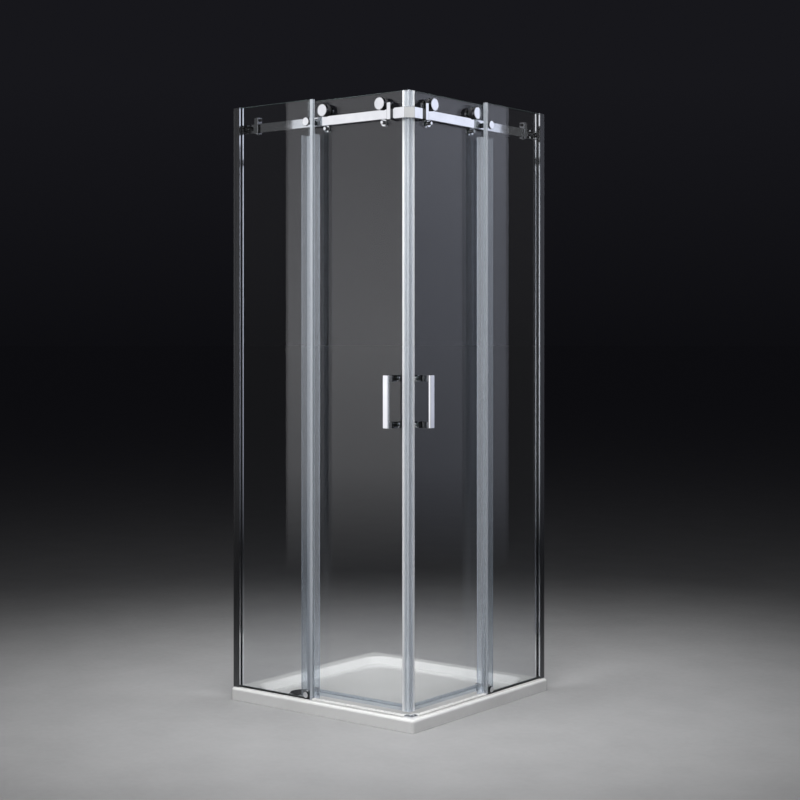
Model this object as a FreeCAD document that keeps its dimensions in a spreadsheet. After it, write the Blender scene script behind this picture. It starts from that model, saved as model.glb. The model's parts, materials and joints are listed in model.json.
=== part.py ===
import FreeCAD, Part
import Sketcher
import os
import types

# Corner entry shower enclosure on a square tray, in millimetres, +Z up.
# The origin is the middle of the tray's underside. The front corner, where the two doors meet,
# points to +X -Y, and the two walls of the room stand at X = -half and Y = +half.
#
# Each side of the enclosure is drawn in a frame of its own: u runs along the side from the front
# corner to the wall, v runs inwards from the tray's edge, and w runs up from the floor. The right
# side is drawn, and the left side is its mirror image in the diagonal through the front corner.

SIZES = {
    # Tray
    "tray_side": "760",
    "tray_height": "40",
    "tray_corner_radius": "12",
    "tray_edge_radius": "4",
    "rim_width": "48",
    "basin_slope_width": "28",
    "basin_depth": "20",
    "basin_corner_radius": "70",
    "floor_corner_radius": "42",
    "basin_edge_radius": "20",
    # Waste in the tray's floor
    "waste_to_left_wall": "205",
    "waste_to_left_rim": "131",
    "waste_hole_gap": "1",
    "waste_recess_radius": "56",
    "waste_recess_depth": "15",
    "waste_flange_radius": "48",
    "waste_flange_thick": "2.5",
    "waste_flange_bevel": "1.5",
    "waste_tube_radius": "30",
    "waste_tube_wall": "4",
    "waste_tail_wall": "2",
    "waste_tail_lift": "1",
    "waste_gasket_thick": "2",
    "waste_nut_radius": "44",
    "waste_nut_height": "5",
    "cover_radius": "44",
    "cover_thick": "2.5",
    "cover_bevel": "1.5",
    "cover_gap": "0.3",
    "foot_height": "3",
    "foot_radius": "3",
    "foot_pitch_radius": "38",
    "skirt_gap": "2",
    "skirt_wall": "2",
    "skirt_drop": "8",
    # Wall profiles
    "profile_inset": "15",
    "profile_width": "20",
    "profile_depth": "27",
    "profile_wall": "2",
    "profile_back": "3",
    "profile_lip_width": "5",
    "profile_lip_thick": "3",
    "profile_screw_radius": "2.5",
    "profile_screw_end_distance": "150",
    "profile_screw_pitch": "540",
    # Glass
    "glass_thick": "8",
    "enclosure_height": "1920",
    "fixed_edge_reach": "419",
    "fixed_glass_wall_gap": "10",
    "setting_strip_height": "4",
    "glass_hole_radius": "7",
    "sleeve_gap": "0.1",
    # Rail and what carries it
    "rail_thick": "10",
    "rail_height": "30",
    "rail_drop": "55",
    "rail_chamfer": "0.8",
    "standoff_length": "15",
    "standoff_radius": "8",
    "bolt_edge_distance": "25",
    "rail_bolt_cap_radius": "14",
    "guide_bolt_cap_radius": "10",
    "bolt_cap_thick": "6",
    "bolt_cap_bevel": "1",
    "bolt_shank_radius": "4",
    "bolt_bite": "6",
    "fit_gap": "0.05",
    "bracket_radius": "9.5",
    "bracket_length": "60",
    "bracket_grip": "35",
    "bracket_flange_radius": "13",
    "bracket_flange_thick": "5",
    "bracket_thread_radius": "4",
    "bracket_thread_depth": "14",
    "bracket_screw_radius": "3",
    "bracket_screw_recess": "1",
    "joint_wall": "2",
    "joint_arm_length": "64",
    "joint_grip": "40",
    "joint_chamfer": "23",
    "joint_edge_radius": "1",
    # Stops on the rail
    "stop_width": "16",
    "stop_proud": "7",
    "stop_inner": "3",
    "stop_rise": "20",
    "stop_drop": "4",
    "stop_edge_radius": "1.5",
    "wall_stop_setback": "13",
    "stop_gap": "0.5",
    "bumper_radius": "5",
    "bumper_length": "5",
    "bumper_rise": "12",
    "stop_screw_radius": "3",
    "stop_screw_head_radius": "5",
    "stop_screw_head_length": "2",
    # Doors
    "door_gap": "6",
    "panel_overlap": "55",
    "door_lead_setback": "20",
    "door_lift": "18",
    "front_roller_setback": "77",
    "rear_roller_setback": "84",
    "wheel_run_radius": "18.2",
    "wheel_run_gap": "0.3",
    "wheel_flange_height": "2.3",
    "wheel_width": "14",
    "groove_gap": "0.3",
    "axle_radius": "5",
    "axle_bore_depth": "5",
    "shoulder_radius": "10",
    "shoulder_gap": "0.4",
    "roller_cap_radius": "16",
    "roller_cap_thick": "8",
    "disc_radius": "20",
    "disc_thick": "8",
    "disc_gap": "1",
    "edge_bevel": "1",
    "pin_radius": "6",
    "pin_gap": "2.5",
    "pin_reach": "14",
    "pin_flange_radius": "12",
    "pin_flange_thick": "3.5",
    "pin_cap_thick": "6",
    # Handles
    "handle_height": "960",
    "handle_length": "164",
    "handle_width": "20",
    "handle_bar_thick": "8",
    "handle_standoff": "40",
    "handle_setback": "36",
    "handle_edge_radius": "1",
    "post_height": "20",
    "handle_cap_radius": "10",
    "handle_cap_thick": "8",
    "handle_bolt_bite": "15",
    # Seals
    "seal_wall": "1.5",
    "seal_sweep_gap": "6",
    "magnet_leg": "6",
    "magnet_thick": "4",
    "magnet_gap": "0.05",
    "mitre_gap": "0.42",
    "trailing_leg": "12",
    "fixed_leg": "10",
    "bottom_leg": "8",
    "bottom_fin_thick": "2",
    "fin_glass_gap": "2",
    "fin_seal_gap": "1.5",
    "fin_pin_gap": "4.5",
    # Bottom guides
    "guide_width": "20",
    "guide_height": "27",
    "guide_floor": "3.5",
    "guide_inner_wall": "5",
    "guide_chamfer": "1",
    "guide_bolt_height": "15",
    "liner_wall": "1",
    "liner_gap": "0.5",
    # Threshold
    "threshold_width": "16",
    "threshold_height": "6",
    "threshold_bevel": "2",
    "threshold_corner_arm": "30",
    "threshold_corner_rise": "1",
    "threshold_corner_radius": "3",
    # Overrun of every cut past the face it opens
    "overrun": "1",
}

QUARTER_TURN = 90
FULL_TURN = 360
COVER_FEET = 3
HORIZONTAL_AXIS_INDEX = -1
VERTICAL_AXIS_INDEX = -2
START_INDEX = 1
END_INDEX = 2
CENTRE_INDEX = 3
ALIGNED_SHARE = 0.999
UP = FreeCAD.Vector(0, 0, 1)
ALONG = FreeCAD.Vector(1, 0, 0)
DIAGONAL = FreeCAD.Vector(1, 1, 0)

doc = FreeCAD.newDocument("corner_entry_shower_enclosure")
sheet = doc.addObject("Spreadsheet::Sheet", "sizes")
for row, (alias, number) in enumerate(SIZES.items(), start=1):
    sheet.set("A%d" % row, alias)
    sheet.set("B%d" % row, number)
    sheet.setAlias("B%d" % row, alias)
doc.recompute()


class Size:
    """A length: the sheet expression that drives it, and its value for a sketch's first drawing."""

    def __init__(self, text, value):
        self.text = text
        self.value = value

    def __add__(self, other):
        other = as_size(other)
        return Size("(%s + %s)" % (self.text, other.text), self.value + other.value)

    def __sub__(self, other):
        other = as_size(other)
        return Size("(%s - %s)" % (self.text, other.text), self.value - other.value)

    def __neg__(self):
        return Size("(-1 * %s)" % self.text, -self.value)

    def __truediv__(self, count):
        return Size("(%s / %d)" % (self.text, count), self.value / count)


def as_size(length):
    """Takes a zero as a length too."""
    return length if isinstance(length, Size) else Size("0", 0.0)


size = types.SimpleNamespace()
for alias in SIZES:
    setattr(size, alias, Size("sizes.%s" % alias, float(sheet.get(alias))))

# Heights and insets that several pieces share
half = size.tray_side / 2
rim = size.tray_height
basin_floor = rim - size.basin_depth
glass_top = rim + size.enclosure_height
wall = size.tray_side

profile_out = size.profile_inset
profile_in = profile_out + size.profile_width
fixed_out = profile_out + (size.profile_width - size.glass_thick) / 2
fixed_in = fixed_out + size.glass_thick
rail_out = fixed_in + size.standoff_length
rail_mid = rail_out + size.rail_thick / 2
rail_in = rail_out + size.rail_thick
door_out = rail_in + size.door_gap
door_in = door_out + size.glass_thick

rail_top = glass_top - size.rail_drop
rail_low = rail_top - size.rail_height
rail_axis = rail_low + size.rail_height / 2
axle_axis = rail_top + size.wheel_run_gap + size.wheel_run_radius
pin_axis = rail_low - size.pin_gap - size.pin_radius
fin_top = pin_axis - size.pin_flange_radius - size.fin_pin_gap
seal_bottom = rim + size.seal_sweep_gap
door_bottom = rim + size.door_lift
guide_bolt_axis = rim + size.guide_bolt_height

fixed_edge = size.fixed_edge_reach
bolt_place = fixed_edge + size.bolt_edge_distance
door_lead = door_out + size.door_lead_setback
door_trail = fixed_edge + size.panel_overlap
front_roller = door_lead + size.front_roller_setback
rear_roller = door_trail - size.rear_roller_setback
handle_place = door_lead + size.handle_setback
handle_low = rim + size.handle_height - size.handle_length / 2
handle_high = handle_low + size.handle_length

joint_out = rail_out - size.joint_wall
joint_in = rail_in + size.joint_wall
joint_end = joint_out + size.joint_arm_length
rail_start = joint_end - size.joint_grip
bracket_start = wall - size.bracket_length
rail_end = bracket_start + size.bracket_grip
wheel_radius = size.wheel_run_radius + size.wheel_flange_height
corner_bumper = front_roller - wheel_radius - size.stop_gap - size.bumper_length
corner_stop = corner_bumper - size.stop_width
wall_stop = bracket_start - size.wall_stop_setback - size.stop_width
wall_bumper = wall_stop - size.bumper_length

seal_out = door_out - size.seal_wall
seal_in = door_in + size.seal_wall
sleeve_radius = size.glass_hole_radius - size.sleeve_gap
shank_bore = size.bolt_shank_radius + size.fit_gap
bolt_tip = rail_out + size.bolt_bite

nodes = []


def bind(item, path, length):
    """Drives one property of an object from the sheet."""
    item.setExpression(path, as_size(length).text)


def keep(item, label):
    """Names a finished sub-part and puts it on the list of files to write."""
    item.Label = label
    nodes.append(item)
    return item


def new_body(label, x=0, y=0):
    """An empty body whose own origin stands at this place on the floor."""
    body = doc.addObject("PartDesign::Body", label)
    body.Label = label
    bind(body, "Placement.Base.x", x)
    bind(body, "Placement.Base.y", y)
    return body


def side_body(label):
    """An empty body in the right side's frame of u, v and w."""
    body = new_body(label, half, -half)
    body.Placement = FreeCAD.Placement(FreeCAD.Vector(), FreeCAD.Rotation(UP, QUARTER_TURN))
    return body


def new_sketch(body, name, role, across=0, lift=0):
    """A sketch on one of the body's own planes, moved along the plane and along its normal."""
    sketch = body.newObject("Sketcher::SketchObject", name)
    plane = next(item for item in body.Origin.OriginFeatures if item.Role == role)
    sketch.AttachmentSupport = [(plane, "")]
    sketch.MapMode = "FlatFace"
    bind(sketch, "AttachmentOffset.Base.x", across)
    bind(sketch, "AttachmentOffset.Base.z", lift)
    return sketch


def place_point(sketch, geometry, point, x, y):
    """Ties a point of a sketch to its two coordinates."""
    ties = (("DistanceX", VERTICAL_AXIS_INDEX, x), ("DistanceY", HORIZONTAL_AXIS_INDEX, y))
    for kind, axis, length in ties:
        length = as_size(length)
        if length.value == 0:
            sketch.addConstraint(Sketcher.Constraint("PointOnObject", geometry, point, axis))
            continue
        constraint = Sketcher.Constraint(
            kind, HORIZONTAL_AXIS_INDEX, START_INDEX, geometry, point, length.value)
        index = sketch.addConstraint(constraint)
        sketch.setExpression("Constraints[%d]" % index, length.text)


def draw_outline(sketch, corners):
    """Closed outline of straight lines through these corners."""
    first = sketch.GeometryCount
    count = len(corners)
    points = [FreeCAD.Vector(as_size(x).value, as_size(y).value, 0) for x, y in corners]
    for index in range(count):
        sketch.addGeometry(Part.LineSegment(points[index], points[(index + 1) % count]), False)
    for index in range(count):
        following = first + (index + 1) % count
        sketch.addConstraint(
            Sketcher.Constraint("Coincident", first + index, END_INDEX, following, START_INDEX))
    for index, (x, y) in enumerate(corners):
        place_point(sketch, first + index, START_INDEX, x, y)


def draw_circle(sketch, x, y, radius):
    """Circle about a point."""
    centre = FreeCAD.Vector(as_size(x).value, as_size(y).value, 0)
    circle = sketch.addGeometry(Part.Circle(centre, UP, radius.value), False)
    place_point(sketch, circle, CENTRE_INDEX, x, y)
    index = sketch.addConstraint(Sketcher.Constraint("Radius", circle, radius.value))
    sketch.setExpression("Constraints[%d]" % index, radius.text)


def draw_rounded_square(sketch, low, high, radius):
    """Square from low to high both ways, with its corners rounded."""
    near = low + radius
    far = high - radius
    ends = [(near, low), (far, low), (high, near), (high, far),
            (far, high), (near, high), (low, far), (low, near)]
    centres = [(far, near), (far, far), (near, far), (near, near)]
    points = [FreeCAD.Vector(x.value, y.value, 0) for x, y in ends]
    for side in range(len(centres)):
        start = points[2 * side]
        end = points[2 * side + 1]
        after = points[(2 * side + 2) % len(points)]
        centre = FreeCAD.Vector(centres[side][0].value, centres[side][1].value, 0)
        middle = ((end + after) / 2 - centre).normalize() * radius.value + centre
        line = sketch.addGeometry(Part.LineSegment(start, end), False)
        sketch.addGeometry(Part.Arc(end, middle, after), False)
        place_point(sketch, line, START_INDEX, *ends[2 * side])
        place_point(sketch, line, END_INDEX, *ends[2 * side + 1])
    for side in range(len(centres)):
        line = 2 * side
        arc = line + 1
        following = (line + 2) % len(points)
        sketch.addConstraint(Sketcher.Constraint("Coincident", line, END_INDEX, arc, START_INDEX))
        sketch.addConstraint(Sketcher.Constraint("Coincident", arc, END_INDEX, following, START_INDEX))
        index = sketch.addConstraint(Sketcher.Constraint("Radius", arc, radius.value))
        sketch.setExpression("Constraints[%d]" % index, radius.text)


def rectangle(x_low, x_high, y_low, y_high):
    """Corners of an upright rectangle."""
    return [(x_low, y_low), (x_high, y_low), (x_high, y_high), (x_low, y_high)]


def prism(body, name, role, start, end, outlines=(), circles=(), cut=False):
    """Adds, or cuts away, a straight prism between two places along a plane's normal.

    On the XZ plane the places run along v, against the plane's own normal.
    """
    against = role == "XZ_Plane"
    sketch = new_sketch(body, name + "_outline", role, lift=-as_size(start) if against else start)
    for corners in outlines:
        draw_outline(sketch, corners)
    for circle in circles:
        draw_circle(sketch, *circle)
    feature = body.newObject("PartDesign::Pocket" if cut else "PartDesign::Pad", name)
    feature.Profile = sketch
    feature.Reversed = against != cut
    bind(feature, "Length", as_size(end) - start)
    before = body.Tip.BaseFeature.Shape.Volume if cut else 0
    doc.recompute()
    if cut and not feature.Shape.Volume < before:
        raise RuntimeError("%s cuts nothing from %s" % (name, body.Label))
    return feature


def turned(body, name, role, corners, across=0, lift=0):
    """Turns an outline of radius and place corners about the sketch's upright axis."""
    sketch = new_sketch(body, name + "_outline", role, across, lift)
    draw_outline(sketch, corners)
    feature = body.newObject("PartDesign::Revolution", name)
    feature.Profile = sketch
    feature.ReferenceAxis = (sketch, ["V_Axis"])
    feature.Angle = FULL_TURN
    doc.recompute()
    return feature


def soften(body, name, kind, feature, chosen, amount):
    """Rounds or bevels the edges of a feature that pass a test."""
    edges = ["Edge%d" % (index + 1) for index, edge in enumerate(feature.Shape.Edges) if chosen(edge)]
    softened = body.newObject("PartDesign::" + kind, name)
    softened.Base = (feature, edges)
    bind(softened, "Radius" if kind == "Fillet" else "Size", amount)
    doc.recompute()
    return softened


def runs_along(edge, direction):
    """True for a straight edge along a direction."""
    ends = [vertex.Point for vertex in edge.Vertexes]
    if len(ends) < 2 or edge.Curve.TypeId != "Part::GeomLine":
        return False
    return abs((ends[1] - ends[0]).normalize().dot(direction)) > ALIGNED_SHARE


def lies_at(edge, height):
    """True for an edge that lies flat at a height."""
    box = edge.BoundBox
    return abs(box.ZMin - height.value) < size.fit_gap.value and box.ZLength < size.fit_gap.value


def group(label, members):
    """Several separate solids under one name."""
    compound = doc.addObject("Part::Compound", label)
    compound.Label = label
    compound.Links = members
    return compound


def mirror_image(source, label):
    """The left side's copy of a right-hand piece."""
    image = doc.addObject("Part::Mirroring", label)
    image.Label = label
    image.Source = source
    image.Normal = DIAGONAL
    return image


def both_sides(name, right):
    """Keeps a right-hand piece and its left-hand mirror image as two sub-parts."""
    keep(right, "right_" + name)
    keep(mirror_image(right, "left_" + name), "left_" + name)


def one_group(name, members):
    """Keeps small identical pieces of both sides as one sub-part."""
    right = group("right_" + name, members)
    left = mirror_image(right, "left_" + name)
    keep(group(name, [right, left]), name)


def make_tray():
    """Low square tray with a flat rim, a sloped basin and a recess under the waste."""
    body = new_body("tray", -half, -half)
    slab = prism(body, "slab", "XY_Plane", 0, size.tray_height,
                 [rectangle(0, size.tray_side, 0, size.tray_side)])
    corners = soften(body, "corners", "Fillet", slab,
                     lambda edge: runs_along(edge, UP), size.tray_corner_radius)
    soften(body, "top_edges", "Fillet", corners, lambda edge: lies_at(edge, rim), size.tray_edge_radius)
    mouth = new_sketch(body, "basin_mouth", "XY_Plane", lift=rim)
    draw_rounded_square(mouth, size.rim_width, size.tray_side - size.rim_width, size.basin_corner_radius)
    floor_inset = size.rim_width + size.basin_slope_width
    floor = new_sketch(body, "basin_floor", "XY_Plane", lift=basin_floor)
    draw_rounded_square(floor, floor_inset, size.tray_side - floor_inset, size.floor_corner_radius)
    basin = body.newObject("PartDesign::SubtractiveLoft", "basin")
    basin.Profile = mouth
    basin.Sections = [floor]
    basin.Ruled = True
    doc.recompute()
    inner = size.rim_width.value - size.fit_gap.value
    mouth_edges = soften(
        body, "basin_mouth_edges", "Fillet", basin,
        lambda edge: lies_at(edge, rim) and edge.BoundBox.XMin > inner and edge.BoundBox.YMin > inner,
        size.basin_edge_radius)
    soften(body, "basin_floor_edges", "Fillet", mouth_edges,
           lambda edge: lies_at(edge, basin_floor), size.basin_edge_radius)
    place = (size.waste_to_left_wall, size.waste_to_left_rim)
    prism(body, "waste_recess", "XY_Plane", 0, size.waste_recess_depth,
          circles=[(*place, size.waste_recess_radius)], cut=True)
    prism(body, "waste_hole", "XY_Plane", 0, rim,
          circles=[(*place, size.waste_tube_radius + size.waste_hole_gap)], cut=True)
    keep(body, "tray")


def waste_body(label):
    """An empty body on the waste's axis."""
    return new_body(label, size.waste_to_left_wall - half, size.waste_to_left_rim - half)


def make_waste():
    """Flanged waste clamped through the tray's floor, with its lift-out cover."""
    tube_in = size.waste_tube_radius - size.waste_tube_wall
    tail_out = tube_in + size.waste_tail_wall
    flange_top = basin_floor + size.waste_flange_thick
    gasket_low = size.waste_recess_depth - size.waste_gasket_thick
    nut_low = gasket_low - size.waste_nut_height
    flange = waste_body("waste_flange")
    turned(flange, "flange_and_tail", "XZ_Plane", [
        (tube_in, size.waste_tail_lift),
        (tail_out, size.waste_tail_lift),
        (tail_out, nut_low),
        (size.waste_tube_radius, nut_low),
        (size.waste_tube_radius, basin_floor),
        (size.waste_flange_radius, basin_floor),
        (size.waste_flange_radius - size.waste_flange_bevel, flange_top),
        (tube_in, flange_top)])
    keep(flange, "waste_flange")

    ring_in = size.waste_tube_radius + size.fit_gap
    gasket = waste_body("waste_gasket")
    prism(gasket, "ring", "XY_Plane", gasket_low, size.waste_recess_depth,
          circles=[(0, 0, ring_in), (0, 0, size.waste_nut_radius)])
    keep(gasket, "waste_gasket")
    nut = waste_body("waste_nut")
    prism(nut, "ring", "XY_Plane", nut_low, gasket_low,
          circles=[(0, 0, ring_in), (0, 0, size.waste_nut_radius)])
    keep(nut, "waste_nut")

    feet_low = flange_top + size.cover_gap
    cover_low = feet_low + size.foot_height
    cover_top = cover_low + size.cover_thick
    skirt_out = tube_in - size.skirt_gap
    skirt_in = skirt_out - size.skirt_wall
    skirt_low = cover_low - size.skirt_drop
    cover = waste_body("waste_cover")
    turned(cover, "disc_and_skirt", "XZ_Plane", [
        (0, cover_low),
        (skirt_in, cover_low),
        (skirt_in, skirt_low),
        (skirt_out, skirt_low),
        (skirt_out, cover_low),
        (size.cover_radius, cover_low),
        (size.cover_radius, cover_top - size.cover_bevel),
        (size.cover_radius - size.cover_bevel, cover_top),
        (0, cover_top)])
    foot = prism(cover, "foot", "XY_Plane", feet_low, cover_low,
                 circles=[(size.foot_pitch_radius, 0, size.foot_radius)])
    feet = cover.newObject("PartDesign::PolarPattern", "feet")
    feet.Originals = [foot]
    axis = next(item for item in cover.Origin.OriginFeatures if item.Role == "Z_Axis")
    feet.Axis = (axis, [""])
    feet.Angle = FULL_TURN
    feet.Occurrences = COVER_FEET
    cover.Tip = feet
    keep(cover, "waste_cover")


def make_wall_profile():
    """Channel on the wall that takes the fixed glass, with its two glazing strips."""
    mouth = wall - size.profile_depth
    lip_back = mouth + size.profile_lip_thick
    back = wall - size.profile_back
    wall_out = profile_out + size.profile_wall
    wall_in = profile_in - size.profile_wall
    lip_out = profile_out + size.profile_lip_width
    lip_in = profile_in - size.profile_lip_width
    body = side_body("wall_profile")
    prism(body, "channel", "XY_Plane", rim, glass_top, [[
        (mouth, profile_out), (wall, profile_out), (wall, profile_in), (mouth, profile_in),
        (mouth, lip_in), (lip_back, lip_in), (lip_back, wall_in), (back, wall_in),
        (back, wall_out), (lip_back, wall_out), (lip_back, lip_out), (mouth, lip_out)]])
    first = rim + size.profile_screw_end_distance
    last = glass_top - size.profile_screw_end_distance
    second = first + size.profile_screw_pitch
    third = last - size.profile_screw_pitch
    middle = profile_out + size.profile_width / 2
    prism(body, "screw_holes", "YZ_Plane", back - size.overrun, wall + size.overrun,
          circles=[(middle, height, size.profile_screw_radius) for height in (first, second, third, last)],
          cut=True)
    both_sides("wall_profile", body)

    glass_edge = wall - size.fixed_glass_wall_gap
    strips = []
    for name, low, high in (("outer", lip_out, fixed_out), ("inner", fixed_in, lip_in)):
        strip = side_body("glazing_strip_" + name)
        prism(strip, "strip", "XY_Plane", rim, glass_top, [rectangle(mouth, glass_edge, low, high)])
        strips.append(strip)
    both_sides("glazing_strips", group("glazing_strip_pair", strips))


def make_fixed_panel():
    """Fixed glass on its setting strip, with the seal on its free edge."""
    glass_end = wall - size.fixed_glass_wall_gap
    glass_bottom = rim + size.setting_strip_height
    glass = side_body("fixed_glass")
    prism(glass, "pane", "XZ_Plane", fixed_out, fixed_in,
          [rectangle(fixed_edge, glass_end, glass_bottom, glass_top)])
    prism(glass, "holes", "XZ_Plane", fixed_out - size.overrun, fixed_in + size.overrun,
          circles=[(bolt_place, rail_axis, size.glass_hole_radius),
                   (bolt_place, guide_bolt_axis, size.glass_hole_radius)],
          cut=True)
    both_sides("fixed_glass", glass)

    strip = side_body("setting_strip")
    prism(strip, "strip", "XZ_Plane", fixed_out, fixed_in,
          [rectangle(fixed_edge, glass_end, rim, glass_bottom)])
    one_group("setting_strips", [strip])

    web = fixed_edge - size.seal_wall
    leg_end = fixed_edge + size.fixed_leg
    leg_out = fixed_out - size.seal_wall
    leg_in = fixed_in + size.seal_wall
    seal = side_body("fixed_seal")
    prism(seal, "channel", "XY_Plane", rim, glass_top, [[
        (web, leg_out), (leg_end, leg_out), (leg_end, fixed_out), (fixed_edge, fixed_out),
        (fixed_edge, fixed_in), (leg_end, fixed_in), (leg_end, leg_in), (web, leg_in)]])
    prism(seal, "fin", "XY_Plane", rim, fin_top,
          [rectangle(web, fixed_edge, fixed_in, seal_out - size.fin_seal_gap)])
    both_sides("fixed_seal", seal)


def make_rail():
    """Flat bar rail that the wheels run on, with its spacer, wall bracket and bracket screw."""
    bracket_screw = rail_end - size.bracket_grip / 2
    screw_bore = size.bracket_screw_radius + size.fit_gap
    rail = side_body("rail")
    bar = prism(rail, "bar", "YZ_Plane", rail_start, rail_end,
                [rectangle(rail_out, rail_in, rail_low, rail_top)])
    soften(rail, "bar_edges", "Chamfer", bar, lambda edge: runs_along(edge, ALONG), size.rail_chamfer)
    prism(rail, "bolt_hole", "XZ_Plane", rail_out - size.overrun, bolt_tip + size.fit_gap,
          circles=[(bolt_place, rail_axis, shank_bore)], cut=True)
    prism(rail, "bracket_screw_hole", "XZ_Plane", rail_out - size.overrun, rail_in + size.overrun,
          circles=[(bracket_screw, rail_axis, screw_bore)], cut=True)
    both_sides("rail", rail)

    standoff = side_body("rail_standoff")
    prism(standoff, "tube", "XZ_Plane", fixed_in, rail_out,
          circles=[(bolt_place, rail_axis, shank_bore), (bolt_place, rail_axis, size.standoff_radius)])
    both_sides("rail_standoff", standoff)

    bracket = side_body("rail_wall_bracket")
    flange_start = wall - size.bracket_flange_thick
    prism(bracket, "socket", "YZ_Plane", bracket_start, flange_start,
          circles=[(rail_mid, rail_axis, size.bracket_radius)])
    prism(bracket, "flange", "YZ_Plane", flange_start, wall,
          circles=[(rail_mid, rail_axis, size.bracket_flange_radius)])
    prism(bracket, "rail_slot", "YZ_Plane", bracket_start - size.overrun, rail_end + size.fit_gap,
          [rectangle(rail_out - size.fit_gap, rail_in + size.fit_gap,
                     rail_low - size.overrun, rail_top + size.overrun)], cut=True)
    prism(bracket, "wall_thread", "YZ_Plane", wall - size.bracket_thread_depth, wall + size.overrun,
          circles=[(rail_mid, rail_axis, size.bracket_thread_radius)], cut=True)
    cheek_out = rail_mid - size.bracket_radius
    cheek_in = rail_mid + size.bracket_radius
    prism(bracket, "screw_hole", "XZ_Plane", cheek_out - size.overrun, cheek_in + size.overrun,
          circles=[(bracket_screw, rail_axis, screw_bore)], cut=True)
    both_sides("rail_wall_bracket", bracket)

    screw = side_body("bracket_screw")
    prism(screw, "pin", "XZ_Plane", cheek_out + size.bracket_screw_recess,
          cheek_in - size.bracket_screw_recess,
          circles=[(bracket_screw, rail_axis, size.bracket_screw_radius)])
    one_group("bracket_screws", [screw])


def make_corner_joint():
    """Chamfered corner block whose two sockets hold the front ends of the rails."""
    body = side_body("rail_corner_joint")
    cut_end = joint_out + size.joint_chamfer
    block = prism(body, "block", "XY_Plane", rail_low - size.joint_wall, rail_top + size.joint_wall, [[
        (cut_end, joint_out), (joint_end, joint_out), (joint_end, joint_in), (joint_in, joint_in),
        (joint_in, joint_end), (joint_out, joint_end), (joint_out, cut_end)]])
    soften(body, "block_edges", "Fillet", block, lambda edge: True, size.joint_edge_radius)
    slot_low = rail_out - size.fit_gap
    slot_high = rail_in + size.fit_gap
    opening = rectangle(slot_low, slot_high, rail_low - size.fit_gap, rail_top + size.fit_gap)
    start = rail_start - size.fit_gap
    end = joint_end + size.overrun
    prism(body, "right_socket", "YZ_Plane", start, end, [opening], cut=True)
    prism(body, "left_socket", "XZ_Plane", start, end, [opening], cut=True)
    keep(body, "rail_corner_joint")


def make_stops():
    """Blocks clamped on the rail, with the rubber bumpers that catch the wheels."""
    stops = []
    bumpers = []
    screws = []
    block_out = rail_out - size.stop_proud
    block_in = rail_in + size.stop_inner
    block_low = rail_low - size.stop_drop
    bumper_axis = rail_top + size.bumper_rise
    for name, start, bumper in (("corner", corner_stop, corner_bumper), ("wall", wall_stop, wall_bumper)):
        end = start + size.stop_width
        middle = start + size.stop_width / 2
        stop = side_body(name + "_stop")
        block = prism(stop, "block", "YZ_Plane", start, end,
                      [rectangle(block_out, block_in, block_low, rail_top + size.stop_rise)])
        soften(stop, "block_edges", "Fillet", block,
               lambda edge: edge.BoundBox.YMax < rail_mid.value, size.stop_edge_radius)
        prism(stop, "rail_slot", "YZ_Plane", start - size.overrun, end + size.overrun,
              [rectangle(rail_out - size.fit_gap, rail_in + size.fit_gap,
                         rail_low - size.fit_gap, rail_top + size.fit_gap)], cut=True)
        prism(stop, "screw_hole", "XY_Plane", block_low - size.overrun, rail_low,
              circles=[(middle, rail_mid, size.stop_screw_radius + size.fit_gap)], cut=True)
        stops.append(stop)
        rubber = side_body(name + "_bumper")
        prism(rubber, "buffer", "YZ_Plane", bumper, bumper + size.bumper_length,
              circles=[(rail_mid, bumper_axis, size.bumper_radius)])
        bumpers.append(rubber)
        screw = side_body(name + "_stop_screw")
        prism(screw, "head", "XY_Plane", block_low - size.stop_screw_head_length, block_low,
              circles=[(middle, rail_mid, size.stop_screw_head_radius)])
        prism(screw, "shank", "XY_Plane", block_low, rail_low,
              circles=[(middle, rail_mid, size.stop_screw_radius)])
        screws.append(screw)
    both_sides("rail_stops", group("rail_stop_pair", stops))
    one_group("stop_bumpers", bumpers)
    one_group("stop_screws", screws)


def make_glass_bolts():
    """Capped bolts that hold the rail spacers and the bottom guides to the fixed glass."""
    cap = fixed_out - size.bolt_cap_thick
    bolts = []
    for name, height, cap_radius in (("rail", rail_axis, size.rail_bolt_cap_radius),
                                     ("guide", guide_bolt_axis, size.guide_bolt_cap_radius)):
        bolt = side_body(name + "_bolt")
        turned(bolt, "bolt", "XY_Plane", [
            (0, cap),
            (cap_radius - size.bolt_cap_bevel, cap),
            (cap_radius, cap + size.bolt_cap_bevel),
            (cap_radius, fixed_out),
            (sleeve_radius, fixed_out),
            (sleeve_radius, fixed_in),
            (size.bolt_shank_radius, fixed_in),
            (size.bolt_shank_radius, bolt_tip),
            (0, bolt_tip)], across=bolt_place, lift=height)
        bolts.append(bolt)
    one_group("glass_bolts", bolts)


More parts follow.
